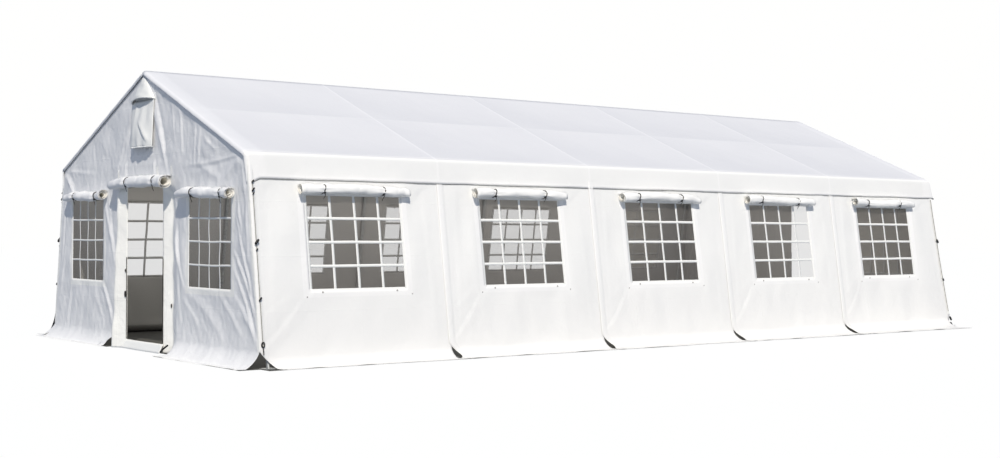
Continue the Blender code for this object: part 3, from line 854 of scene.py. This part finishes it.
def gable_cells(end, points, kept=None):
    """cells_of for a part of a gable, with 1 on its double cloth.

    That is the bands beside the doorway and round the windows, and the edges at the corners.
    """
    out, z = np.abs(points[..., 1]), points[..., 2]
    band = np.where(end * points[..., 1] < 0, 0.60, 0.57)
    jamb = (1 - smooth((out - band) / 0.015)) * (1 - smooth((z - 1.66) / 0.03))
    low, high = GABLE_PANE_Y
    window = inside(out, z, (low - BORDER, high + BORDER, PANE_Z[0] - BORDER, PANE_Z[1]), 0.005)
    corner = smooth((out - wall_y(z) + 0.045) / 0.01)
    return cells_of(points, (end, 0, 0), kept, double=np.clip(jamb + 0.8 * window + corner, 0, 1))


# %% [markdown]
# A gable panel is a grid again, with the window's and the jamb's edges as lines of the grid. At the corner
# of the tent the cloth goes on round the post for a few centimetres, where it is laced. Below the fold the
# panel splits: a narrow strip goes on down beside the doorway, and the rest turns outwards as a skirt.

# %% Gable panels
GABLE_FOLD_Z = 0.15
JAMB_FOOT = 0.70            # where the strip beside the doorway ends and the skirt begins
DOOR_EDGES = {(-1, 1): 0.40, (-1, -1): 0.45, (1, -1): 0.475, (1, 1): 0.14}     # the cloth's edges there
GABLE_CORNER = {-1: 0.080, 1: -0.18}    # how far the skirt is drawn back from the corner at the ground
GABLE_SEED = {-1: 300, 1: 340}
WRAP_R, WRAP = 0.014, 0.034             # the bend round the corner post, and the lap beyond it
SKIRT_REACH = {(-1, -1): 5.325, (-1, 1): 5.235, (1, -1): 5.36, (1, 1): 5.36}


def gable_points(end, y, z, proud=0.0):
    """Points on a gable's cloth: its plane, its flare towards the foot of a corner, and its relief."""
    flare = gable_flare(end, z) * smooth((np.abs(y) - 0.75) / 1.6)
    return stacked(end * (GABLE_X + flare + gable_relief(y * -end, z, GABLE_SEED[end]) + proud), y, z)


def wrapped(end, side, z):
    """Columns that carry a gable's cloth round the corner: an arc about the post's edge, then a lap."""
    angle = np.linspace(0, np.pi / 2, 6)[1:]
    steps = np.linspace(0, WRAP, 5)[1:]
    in_x = np.concatenate([WRAP_R * (1 - np.cos(angle)), WRAP_R + steps])
    in_y = np.concatenate([WRAP_R * np.sin(angle), np.full(len(steps), WRAP_R)])
    base = gable_points(end, side * (wall_y(z)[:, None] - WRAP_R + 0.004), z[:, None])
    return stacked(base[..., 0] - end * in_x, base[..., 1] + side * in_y, z[:, None])


def gable_rows(end, side, z, columns):
    """A grid of a gable panel between its doorway and its corner, over the given heights."""
    outer = wall_y(z)[:, None] - WRAP_R + 0.004
    last = GABLE_PANE_Y[1] + BORDER
    spread = last + (outer - last) * (columns - last) / (columns[-1] - last)
    flat = gable_points(end, side * np.where(columns > last, spread, columns), z[:, None])
    return np.concatenate([flat, wrapped(end, side, z)], axis=1)


def gable_skirt(end, side, top, seed):
    """The part that turns outwards: it leaves the wall straight down, reaches the ground and lies on it."""
    t = np.linspace(0, 1, 17)[:, None]
    x, y = np.abs(top[None, :, 0]), top[None, :, 1]
    x = end * (x + (SKIRT_REACH[end, side] + 0.012 * wander(y, 0.8, seed + 9) - x) * t ** 1.5)
    lift = (0.003 + 0.005 * np.maximum(waves(x, y, 0.4, seed + 12), 0)) * smooth((t - 0.75) / 0.25)
    height = np.where(t == 0, GABLE_FOLD_Z, skirt_height(GABLE_FOLD_Z, t / 0.62, 1.25) + lift)
    along = np.linspace(0, 1, y.shape[1])[None]
    pulled = GABLE_CORNER[side] * np.clip(1 - height / CORNER_TOP, 0, 1) ** 1.05
    pulled = pulled * smooth((along - 0.75) / 0.25)
    slit = 0.15 if side == -end else 0.02
    drawn = slit * smooth(t / 0.4) * (1 - smooth(along / 0.22)) * (1 - 0.95 * smooth((t - 0.66) / 0.34))
    spread = side * (0.06 * t * smooth((along - 0.3) / 0.7) - pulled + drawn)
    return cells_of(stacked(x, y + spread, height), (end, 0, 1), double=0.7 * smooth((t - 0.88) / 0.03))


def gable_sheet(end, word):
    """A whole gable in one sheet: two panels with their skirts, and the part above the doorway.

    Above the doorway the same grid lines run straight up to the roof, drawn in a little at the corners, so
    that the three parts share their points.
    """
    low, high = GABLE_PANE_Y
    z = graded([GABLE_FOLD_Z, *BORDER_Z, *PANE_Z, DOOR_TOP_Z], 0.0185)
    beside = low - BORDER - 0.005, low - BORDER, low, high, high + BORDER, high + BORDER + 0.005
    parts, heads = [], {}
    for side, _ in SIDES:
        columns = graded([DOOR_EDGES[end, side], 0.56, JAMB_FOOT, *beside, wall_y(0.9)], 0.0145)
        main = gable_rows(end, side, z, columns)
        mid_y, mid_z = (columns[:-1] + columns[1:]) / 2, (z[:-1] + z[1:]) / 2
        kept = np.ones((len(z) - 1, main.shape[1] - 1), bool)
        open_y, open_z = (mid_y > low) & (mid_y < high), (mid_z > PANE_Z[0]) & (mid_z < PANE_Z[1])
        kept[:, :len(mid_y)] = ~(open_z[:, None] & open_y)
        foot = gable_rows(end, side, np.linspace(LIE, GABLE_FOLD_Z, 9), columns)
        before, upto = (int((columns < JAMB_FOOT + shift).sum()) for shift in (-1e-6, 1e-6))
        parts += [gable_cells(end, main, kept), gable_cells(end, foot[:, :upto]),
                  gable_skirt(end, side, main[0, before:len(columns)], GABLE_SEED[end])]
        heads[side] = main[-1, :len(columns), 1]
    middle = np.linspace(heads[-1][0], heads[1][0], 64)[1:-1]
    head = np.concatenate([heads[-1][::-1], middle, heads[1]])[None]
    z = DOOR_TOP_Z + (roof_z(head * 0.988) - 0.030 - DOOR_TOP_Z) * np.linspace(0, 1, 44)[:, None]
    y = head - np.sign(head) * (wall_y(DOOR_TOP_Z) - wall_y(z)) * smooth((np.abs(head) - 1.8) / 0.44)
    laps = wrapped(end, -1, z[:, 0])[:, ::-1], wrapped(end, 1, z[:, -1])
    parts.append(gable_cells(end, np.concatenate([laps[0], gable_points(end, y, z), laps[1]], axis=1)))
    nodes = [f"{word}_gable_{part}" for part in ("top", "front_panel", "rear_panel")]
    sheet = sheeting(f"{word}_gable_sheet", parts, GABLE, nodes)
    print(sheet.name, "faces", len(sheet.data.polygons))


for end, word in ENDS:
    gable_sheet(end, word)

# %% [markdown]
# ## Windows
#
# A window is a sheet of film welded behind an opening, with white bars across it, four panes by four. Film
# and bars lie on the same formula as the cloth, so they follow its folds. The bars of a slack gable window
# wander, because the film does.

# %% Film and bars
BAR_HALF = 0.0135
RIM = 0.030                 # width of the strip that holds the film all round
PANES = 4


def rectangle(low_a, high_a, low_b, high_b, step):
    """Two arrays over a rectangle, with cells of about one step."""
    return np.meshgrid(graded([low_a, high_a], step), graded([low_b, high_b], step), indexing="ij")


def window(name, low, high, place, towards, stray, seed, sheet):
    """A window from a function place(a, b, proud) that puts points on its cloth.

    a runs along it, and b is height.

    stray says how far its bars wander. A slack window's bars are narrower too.
    """
    bottom, top = PANE_Z
    slack = stray > 0.003

    def arch(b):
        """Half a sine wave up the window."""
        return np.sin(np.pi * (b - bottom) / (top - bottom))

    def belly(a, b):
        """The film's bulge: half a sine wave each way."""
        return 0.004 * np.sin(np.pi * (a - low) / (high - low)) * arch(b)

    a, b = rectangle(low - 0.012, high + 0.012, bottom - 0.012, top + 0.012, 0.04)
    parts = [cells_of(place(a, b, belly(a, b) - 0.0026), towards)]
    pane = build(f"{name}_film", parts, [film], 0.0006, [name])
    parts = []
    across = np.array([-1.0, 0.0, 1.0]) * BAR_HALF * (0.68 if slack else 1)
    run_b, run_a = np.linspace(bottom - 0.01, top + 0.01, 30), np.linspace(low - 0.01, high + 0.01, 34)
    for i in range(1, PANES):
        shift = stray * wander(run_b, 0.45, seed + i) * arch(run_b)
        a, b = np.meshgrid(across + low + (high - low) * i / PANES, run_b, indexing="ij")
        parts.append(cells_of(place(a + shift, b, belly(a, b) - 0.0012), towards))
        shift = 0.4 * stray * wander(run_a, 0.5, seed + 10 + i)
        a, b = np.meshgrid(run_a, across + bottom + (top - bottom) * i / PANES, indexing="ij")
        parts.append(cells_of(place(a, b + shift[:, None], belly(a, b) - 0.0010), towards))
    rim = (0.006 if slack else 0.018) - np.array([0.0, RIM / 2, RIM])
    for a, b in ((low + rim, run_b), (high - rim, run_b), (run_a, bottom + 0.7 * rim),
                 (run_a, top - 0.5 * rim)):
        parts.append(cells_of(place(a[:, None], b[None], -0.0008), towards))
    build(f"{name}_bars", parts, [band_face], CLOTH)


for (word, bay), panel in walls.items():
    window(f"{word}_window_{bay + 1}", -LONG_PANE, LONG_PANE, lambda *spot: on_wall(panel, *spot),
           (0, panel[0], 0.1), 0.0012, panel[2], f"{word}_wall_{bay + 1}_sheet")
for end, word in ENDS:
    for side, hand in SIDES:
        window(f"{word}_gable_{hand}_window", *GABLE_PANE_Y,
               lambda a, b, proud: gable_points(end, side * a, b, proud), (end, 0, 0), 0.006,
               500 + 20 * end + side, f"{word}_gable_sheet")

# %% [markdown]
# ### Studs
#
# Four moulded studs below each long window hold the cover when it is down. Each is a disc with a low dome,
# turned as a very short bar.

# %% Studs
STUD_PLACES = ((-0.403, 0.666, 0.010), (0.416, 0.666, 0.010), (-0.570, 0.626, 0.007), (0.585, 0.630, 0.007))
for (word, bay), panel in walls.items():
    discs = [bar(on_wall(panel, u, z, np.array([0.0, 0.003, 0.006])), size * np.array([1.0, 0.95, 0.5]), 10,
                 lean=(1, 0, 0)) for u, z, size in STUD_PLACES]
    round_pieces(f"{word}_studs_{bay + 1}", discs, stud)

# %% [markdown]
# ## Rolled covers
#
# Above each window its cover is rolled up, five turns of it, and tied with two loops of elastic. The
# doorway's curtain is rolled the same way and is longer. A roll is one sheet: a spiral carried along an
# axis. The ties pinch it, so its radius dips there and the cloth puckers beside them. One end stands open,
# and the other is drawn thin.

# %% Rolls
TURNS = 5
LAYER = 0.0052              # distance between two layers of the roll
SECTIONS = 28               # points round the outer turn
TIE_R = 0.005
COVER = 0.0010              # thickness of a cover's cloth
DOWN = {("rear", 4), ("right", "front")}        # the two windows whose covers are let down


def roll(name, along, out, face, start, end, height, radius, ties, thin_end, seed):
    """A rolled cover, along an axis and out from the cloth behind it, which lies at the distance face.

    thin_end is the drawn end, -1 for start and 1 for end. The spiral starts at the cloth above the roll,
    passes over its front and goes inwards: the angle runs down from two thirds of a half turn, and the
    radius falls by one layer each turn. Inner turns end a little further in. The underside sags, and the
    side at the cloth is flat.
    """
    along, out, up = np.array(along, float), np.array(out, float), np.array([0, 0, 1.0])
    length = end - start
    s = graded([0.0, length], 0.028)
    spin = np.concatenate([ring_of(SECTIONS), *[2 * np.pi * k + ring_of(14) for k in range(1, TURNS)],
                           [2 * np.pi * TURNS]])[:, None]
    place, turn = s[None], spin / (2 * np.pi)
    from_thin = place if thin_end < 0 else length - place
    from_open = length - from_thin
    body = radius * (0.80 + 0.20 * smooth(from_thin / 0.22)) * (1 + 0.07 * smooth(1 - from_open / 0.07))
    pinch, pucker = 0 * place, 0 * (spin + place)
    for i, tie in enumerate(ties):
        gap = np.abs(place - (tie - start))
        pinch = pinch + 0.20 * np.exp(-(gap / 0.030) ** 2)
        pucker = pucker + np.cos(7 * spin + 2.1 * i + 9 * gap) * np.exp(-gap / 0.075)
    loose = waves(place, spin * 0.05, 0.24, seed) + 0.5 * waves(place, spin * 0.05, 0.09, seed + 3)
    r = body * (1 - pinch) - LAYER * turn * body / radius + 0.0056 * pucker + 0.0032 * loose
    angle = math.radians(118) - spin
    sag = np.clip(np.cos(angle + np.pi / 4), 0, 1) ** 4 * (1 - pinch / 0.20)
    r = np.maximum(r * (1 + 0.13 * sag), 0.006)
    centre_out = face + body * (1 - pinch) + 0.003
    bow = 0.007 * wander(place, 0.9, seed + 1) - 0.010 * (1 - smooth(from_thin / 0.30))
    far = centre_out + r * np.cos(angle)
    high = height + bow + 0.93 * r * np.sin(angle)
    inset = 0.0035 * turn * smooth(1 - from_open / 0.3) - 0.006 * turn * smooth(1 - from_thin / 0.3)
    ragged = 0.004 * wander(spin * 0.4, 2.0, seed + 2) * smooth(1 - from_open / 0.2)
    lead = np.clip(1 - spin / 0.35, 0, 1)
    behind = face + 0.0035
    far = np.maximum(far + (behind - far) * lead ** 1.5, behind)
    high = high + 0.018 * lead * smooth(from_open / 0.10)
    points = (start + (place + inset * thin_end + ragged))[..., None] * along
    points = points + far[..., None] * out + high[..., None] * up
    flat, quads, double = cells_of(points)
    outer = quads[:SECTIONS * (len(s) - 1)]
    away = flat[outer].mean(1) - (face + radius) * out - height * up
    away = away - (away @ along)[:, None] * along
    if (facing(flat, outer) * away).sum() < 0:
        quads = quads[:, ::-1]
    cover = build(name, [(flat, quads, double)], [gable_face if out[0] else wall_face, cream_back], COVER)
    loops = []
    a, tail = ring_of(28), np.linspace(0, 1, 8)[:, None]
    for i, tie in enumerate(ties):
        size, mid_out, mid_up = (float(np.interp(tie - start, s, row[0])) for row in (
            body * (1 - pinch) + 0.004, centre_out, height + bow))
        reach = np.maximum(mid_out + size * np.cos(a), face + 0.006)
        path = (tie + 0.016 * np.sin(a + i))[:, None] * along + reach[:, None] * out
        path = path + (mid_up + 0.96 * size * np.sin(a))[:, None] * up
        loops.append(bar(path, TIE_R, lean=along, loop=True))
        knot = tie * along + (mid_out + size * 0.75) * out + (mid_up - size * 0.70) * up
        loops.append(ball(knot, 0.014 * along, 0.011, up))
        drop = knot - tail * 0.06 * up + 0.010 * np.sin(4 * tail + i) * along - 0.012 * tail * out
        loops.append(bar(drop, 0.004 * (1 - 0.3 * tail[:, 0]), 6, lean=along))
    round_pieces(f"{name}_ties", loops)


ROLL_Z, ROLL_R = 1.615, 0.049
DOOR_ROLL_Z, DOOR_ROLL_R = 1.720, 0.062
for (word, bay), (side, middle, _) in walls.items():
    if (word, bay) in DOWN:
        continue
    centre = middle + float(slide(side, middle, 0.0))
    roll(f"{word}_cover_{bay + 1}", (1, 0, 0), (0, side, 0), wall_y(ROLL_Z), centre - 0.60, centre + 0.61,
         ROLL_Z, ROLL_R, (centre - 0.35, centre + 0.30), 1 if side < 0 else (-1) ** bay,
         800 + 10 * bay + side)
for end, word in ENDS:
    for side, hand in SIDES:
        if (word, hand) in DOWN:
            continue
        first, last, ties, height = (0.93, 2.03, (1.12, 1.72), 1.605)
        if side == end:
            first, last, ties, height = (0.87, 2.00, (1.25, 1.85), 1.580)
        line = sorted((side * first, side * last))
        roll(f"{word}_cover_{hand}", (0, 1, 0), (end, 0, 0), GABLE_X, *line, height, 0.051,
             sorted(side * t for t in ties), -end, 800 + 10 * end + side)
    edges = (-0.66, 0.70) if end < 0 else (-0.70, 0.66)
    roll(f"{word}_door_curtain", (0, 1, 0), (end, 0, 0), GABLE_X, *edges, DOOR_ROLL_Z, DOOR_ROLL_R,
         (end * 0.42, -end * 0.24), -end, 850 + end)

# %% [markdown]
# ### Covers let down
#
# Two covers, on the far side, hang down over their windows, which then look dark from inside. Such a cover
# is a plain sheet that hangs from the line of its ties. It stands a few millimetres off the film, and waves
# a little lower down.

# %% Covers let down
COVER_TOP, COVER_FOOT, COVER_WIDER = 1.665, 0.59, 0.07


def hanging_cover(name, low, high, place, towards, seed, wall):
    """A cover over the window from low to high: a sheet whose distance from the wall is a sum of waves."""
    a, b = rectangle(low - COVER_WIDER, high + COVER_WIDER, COVER_FOOT, COVER_TOP, 0.025)
    slack = smooth((COVER_TOP - b) / 0.6)
    proud = 0.005 + 0.004 * slack * np.maximum(1 + waves(a, b * 0.25, 0.32, seed), 0)
    cover = build(name, [cells_of(place(a, b, proud), towards)], [wall_face, cream_back], COVER)
    t = ring_of(16)
    rings = [place(tie + 0.012 * np.cos(t), COVER_TOP + 0.03 + 0.035 * np.sin(t), 0.010)
             for tie in (low + 0.18, high - 0.18)]
    round_pieces(f"{name}_ties", [bar(ring, 0.004, 6, lean=towards, loop=True) for ring in rings])


hanging_cover("rear_cover_5", -LONG_PANE, LONG_PANE, lambda *spot: on_wall(walls["rear", 4], *spot),
              (0, 1, 0.1), 741, "rear_wall_5_sheet")
hanging_cover("right_cover_front", *GABLE_PANE_Y, lambda a, b, proud: gable_points(1, -a, b, proud),
              (1, 0, 0), 742, "right_gable_sheet")

# %% [markdown]
# ## The doorway's sill
#
# A stiff strip lies across the foot of the doorway and leans out to the ground.

# %% Sills
for end, word in ENDS:
    low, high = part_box(f"{word}_door_sill")
    y, t = np.meshgrid(graded([low.y, high.y], 0.03), np.linspace(0, 1, 6))
    x = end * (GABLE_X + 0.002 + 0.045 * t + 0.003 * wander(y, 0.5, 900 + end))
    points = stacked(x, y, high.z + (LIE - high.z) * t)
    sill = sheeting(f"{word}_sill_strip", [cells_of(points, (end, 0, 1))], BAND, [f"{word}_door_sill"])

# %% [markdown]
# ## The vent
#
# High in each gable is a vent. A hood like half a cone, sewn to the gable from near the apex, keeps rain off
# it, and a curtain hangs below the hood and bellies out.

# %% Vent hood and curtain
HOOD_OUT = 0.070            # how far the hood's lip stands off the gable


def vent_part(end, node, name, points, edge, radius, lower=0.0):
    """A part of a vent from a grid of points, with a thin bar at its last row as a soft hem."""
    sheet = sheeting(name, [cells_of(points, (end, 0, 0))], BAND, [node])
    round_pieces(edge, [bar(points[-1] - (0, 0, lower), radius, 6)], band_face)
    return sheet


for end, word in ENDS:
    hood_low, hood_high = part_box(f"{word}_vent_hood")
    flap_low, flap_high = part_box(f"{word}_vent_flap")
    turn, t = np.meshgrid(np.linspace(0, np.pi, 29), np.linspace(0, 1, 17))
    dent = 1 + 0.08 * waves(turn, t * 2.0, 0.8, 950 + end)
    x = end * (GABLE_X - 0.001 + (0.004 + (HOOD_OUT - 0.004) * t) * np.sin(turn) * dent)
    y = (0.010 + (hood_high.y - 0.010) * t) * np.cos(turn)
    slump = 0.035 * np.maximum(np.cos(turn) * -end, 0) ** 2
    fall = hood_high.z + 0.02 - hood_low.z - 0.015 + 0.02 * (1 - np.sin(turn)) + slump
    points = stacked(x, y, hood_high.z + 0.02 - fall * t)
    hood = vent_part(end, f"{word}_vent_hood", f"{word}_hood_sheet", points, f"{word}_hood_lip", 0.006)
    y, t = np.meshgrid(graded([flap_low.y, flap_high.y], 0.018), np.linspace(0, 1, 26))
    belly = 0.042 * (1 - (y / flap_high.y) ** 2) * np.sin(np.pi * t * 0.75) + 0.008 + 0.026 * t
    crease = fold(y * -end, t * 0.46, 0.02, 0.20, -0.22, 0.42, 0.022, 0.018)
    crease = crease + fold(y * -end, t * 0.46, 0.12, 0.02, 0.13, 0.40, 0.022, 0.010)
    rumple = 0.004 * waves(y, t * 0.25, 0.16, 960 + end) * smooth(t * 3)
    z = flap_high.z + 0.02 - (flap_high.z + 0.02 - flap_low.z) * t
    points = stacked(end * (GABLE_X + 0.004 + belly + crease + rumple), y, z)
    flap = vent_part(end, f"{word}_vent_flap", f"{word}_vent_curtain", points, f"{word}_vent_hem", 0.007,
                     lower=0.002)

# %% [markdown]
# ## Lacing at the corners
#
# At each corner a thin cord runs from the valance to the foot and holds the two walls to the post. Elastic
# toggles, short moulded barrels on loops, catch it at a few places. At the ground it ends in a ring.

# %% Corner cords and toggles
CORD_R = 0.0035
TOGGLES = ((1.672, 0.012), (1.60, 0.014), (1.563, 0.010), (1.13, 0.020), (1.06, 0.010), (0.62, 0.014))
FAR_TOGGLES = ((1.13, 0.020), (0.62, 0.014), (0.105, 0.022), (0.035, 0.018))     # at the far front corner


def corner_at(end, side, z, out=0.0):
    """The line of a corner, some way out from the lap of the gable's cloth."""
    x = end * (GABLE_X + gable_flare(end, z) - WRAP_R - WRAP * 0.55)
    return stacked(x, side * (wall_y(z) + 0.009 + out), z)


def barrel(path, t, size, sides, waist):
    """A moulded barrel along a path: its radius falls off as the fourth power of the share of the way, t."""
    return bar(path, size * (1 - waist * t ** 4), sides, lean=(0, 1, 0))


for end, word in ENDS:
    for side, hand in SIDES:
        cord = corner_at(end, side, np.linspace(1.68, 0.20, 40))
        round_pieces(f"{word}_{hand}_corner_cord", [bar(cord, CORD_R, 6, lean=(1, 0, 0))], grey_cord)
        parts = []
        far = side < 0 < end
        t = np.linspace(-1, 1, 9)
        for height, size in FAR_TOGGLES if far else TOGGLES:
            if side > 0:
                size = size * 1.5
            spot = corner_at(end, side, np.array(height), 0.7 * size + (0.030 if side > 0 else 0.0))
            path = spot + stacked(-0.9 * size * end * t, 0, 1.1 * size * t)
            parts.append(barrel(path, t, size * 0.62, 10, 0.45))
        if not far:
            a = ring_of(18)
            ring = corner_at(end, side, np.array(0.217), 0.004)
            ring = ring + stacked(0.015 * np.cos(a), 0, 0.022 * np.sin(a))
            parts.append(bar(ring, 0.0062, 6, lean=(0, 1, 0), loop=True))
            tail = corner_at(end, side, np.linspace(0.188, 0.128, 5), 0.004)
            parts.append(bar(tail, 0.0045, 6, lean=(1, 0, 0)))
        if side > 0:
            t = np.linspace(0, 1, 16)
            strap = corner_at(end, 1, 0.33 - 0.30 * t, 0.035 + 0.17 * t ** 2)
            parts.append(bar(strap, 0.012, lean=(1, 0, 0)))
        round_pieces(f"{word}_{hand}_toggles", parts)

# %% [markdown]
# The doorway's edges carry the two halves of a zip, thin black tapes, with a few toggles that hold the
# curtain when it is down. A black strap lies at one end of the sill, and three short white tapes hold the
# rolled curtain from above.

# %% Doorway tapes
for end, word in ENDS:
    parts, tapes = [], []
    for hand in (-1, 1):
        edge = DOOR_EDGES[end, hand]
        line = gable_points(end, hand * (edge + 0.004), np.linspace(0.10, 0.95, 30), 0.004)
        parts.append(bar(line, 0.0045, 6, lean=(0, 1, 0)))
        beside, knobs = (0.10, ((0.48, 0.013),)) if hand == end else (0.012, ((0.81, 0.012), (0.567, 0.020)))
        t = np.linspace(-1, 1, 9)
        for height, size in knobs:
            spot = gable_points(end, hand * (edge + beside), height + 1.6 * size * t, 0.010)
            parts.append(barrel(spot, t, size * 0.55, 8, 0.5))
    t = np.linspace(0, 1, 9)
    strap = stacked(end * (GABLE_X + 0.02 + 0.04 * t), end * (0.63 - 0.085 * t ** 0.8), 0.095 - 0.068 * t)
    parts.append(bar(strap, 0.009, lean=(0, 1, 0)))
    round_pieces(f"{word}_doorway_tapes", parts)
    for at in (0.62, -0.33, -0.67):
        y, z = np.meshgrid(-end * (at + np.array([-0.008, 0.008])), np.linspace(1.775, 1.865, 6))
        tapes.append(cells_of(gable_points(end, y, z, 0.008), (end, 0, 0)))
    build(f"{word}_curtain_tapes", tapes, [band_face], CLOTH)

# %% [markdown]
# ## Floor, sky and sun
#
# The photograph has a clean white ground and background. A white floor as bright as that would throw far too
# much light on the gable, so the floor shines white for the camera and is a plain mid grey for the light
# that bounces off it. Under the tent a dark grey sheet on the ground paints the shade of the room, and it
# reaches under the skirts' lifted edges to paint the thin shade below them. The sky gives a soft, slightly
# blue fill from all round, and one sun stands high before the doorway and the long wall. Light that the white
# roof lets through fills the room from above.

# %% Floor and light
SUN_TOWARDS = (-0.34, -0.62, 0.71)
WHITE = (1.0, 1.0, 0.995, 1.0)


def stage_piece(name, parts, look):
    """A flat mesh from parts made by cells_of, that belongs to the stage and not to the tent."""
    points, faces, _ = joined(parts)
    mesh = bpy.data.meshes.new(name)
    mesh.from_pydata(points.tolist(), [], faces.tolist())
    mesh.materials.append(look)
    placed(name, mesh)


def flat_grid(x, y, z):
    """A level grid that looks up."""
    return cells_of(stacked(x, y, z), (0, 0, 1))


floor_look, tree, shader, _ = finish("pale_studio_floor", Roughness=0.9, Base_Color=(0.28, 0.31, 0.35, 1.0))
shine = add(tree, "Emission", {"Color": WHITE, "Strength": 1.06})
share = calc(tree, "MULTIPLY", add(tree, "LightPath", output="Is Camera Ray"), 0.92)
both = add(tree, "MixShader", {0: share, 1: shader.outputs[0], 2: shine})
tree.links.new(both, tree.nodes["Material Output"].inputs["Surface"])
stage_piece("floor", [flat_grid(*np.meshgrid((-80.0, 80.0), (-80.0, 80.0)), -0.001)], floor_look)

# Painted shade: a dark grey sheet on the ground under the tent and under the skirts' edges.
SHADE_SHEET_Z = 0.0005
painted_shade_sheet = finish("painted_shade_floor", Roughness=0.85, Base_Color=linear("#43433f"))[0]
x = np.linspace(-GABLE_X, GABLE_X, 80)
rims = np.stack([-(skirt_edge(-1, x) - 0.012), np.where(x < -4.9, 2.40, skirt_edge(1, x) - 0.012)])
ground = [flat_grid(x, rims, SHADE_SHEET_Z)]
for (end, side), reach in SKIRT_REACH.items():
    x, y = np.meshgrid((GABLE_X, reach - 0.03), (0.68, 2.50 if side < 0 else 2.30))
    ground.append(flat_grid(end * x, side * y, SHADE_SHEET_Z))
stage_piece("painted_shade_sheet", ground, painted_shade_sheet)

sun_data = bpy.data.lights.new("key_light", "SUN")
sun_data.energy = 3.22
sun_data.color = (1.0, 0.935, 0.85)
sun_data.angle = math.radians(1.2)
backwards = np.asarray(SUN_TOWARDS) / np.linalg.norm(SUN_TOWARDS)
flat_x = np.cross((0, 0, 1), backwards)
flat_x /= np.linalg.norm(flat_x)
axes = np.stack([flat_x, np.cross(backwards, flat_x), backwards], axis=1)
placed("key_light", sun_data).matrix_world = Matrix(axes.tolist()).to_4x4()

glow_data = bpy.data.lights.new("light_through_roof", "AREA")
glow_data.shape = "RECTANGLE"
glow_data.size, glow_data.size_y = 9.6, 4.0
glow_data.energy = 122.0
glow_data.color = (1.0, 0.975, 0.94)
glow = placed("light_through_roof", glow_data)
glow.location = (-0.25, 0.0, 1.90)
glow.visible_camera = False

world = bpy.data.worlds.new("pale_sky")
bpy.context.scene.world = world
world.use_nodes = True
sky = world.node_tree
sky.nodes.clear()
fill = add(sky, "Background", {"Color": (0.78, 0.93, 1.25, 1.0), "Strength": 0.31})
white = add(sky, "Background", {"Color": WHITE, "Strength": 1.0})
both = add(sky, "MixShader", {0: add(sky, "LightPath", output="Is Camera Ray"), 1: fill, 2: white})
add(sky, "OutputWorld", {"Surface": both})
bpy.context.scene.view_settings.view_transform = "Standard"
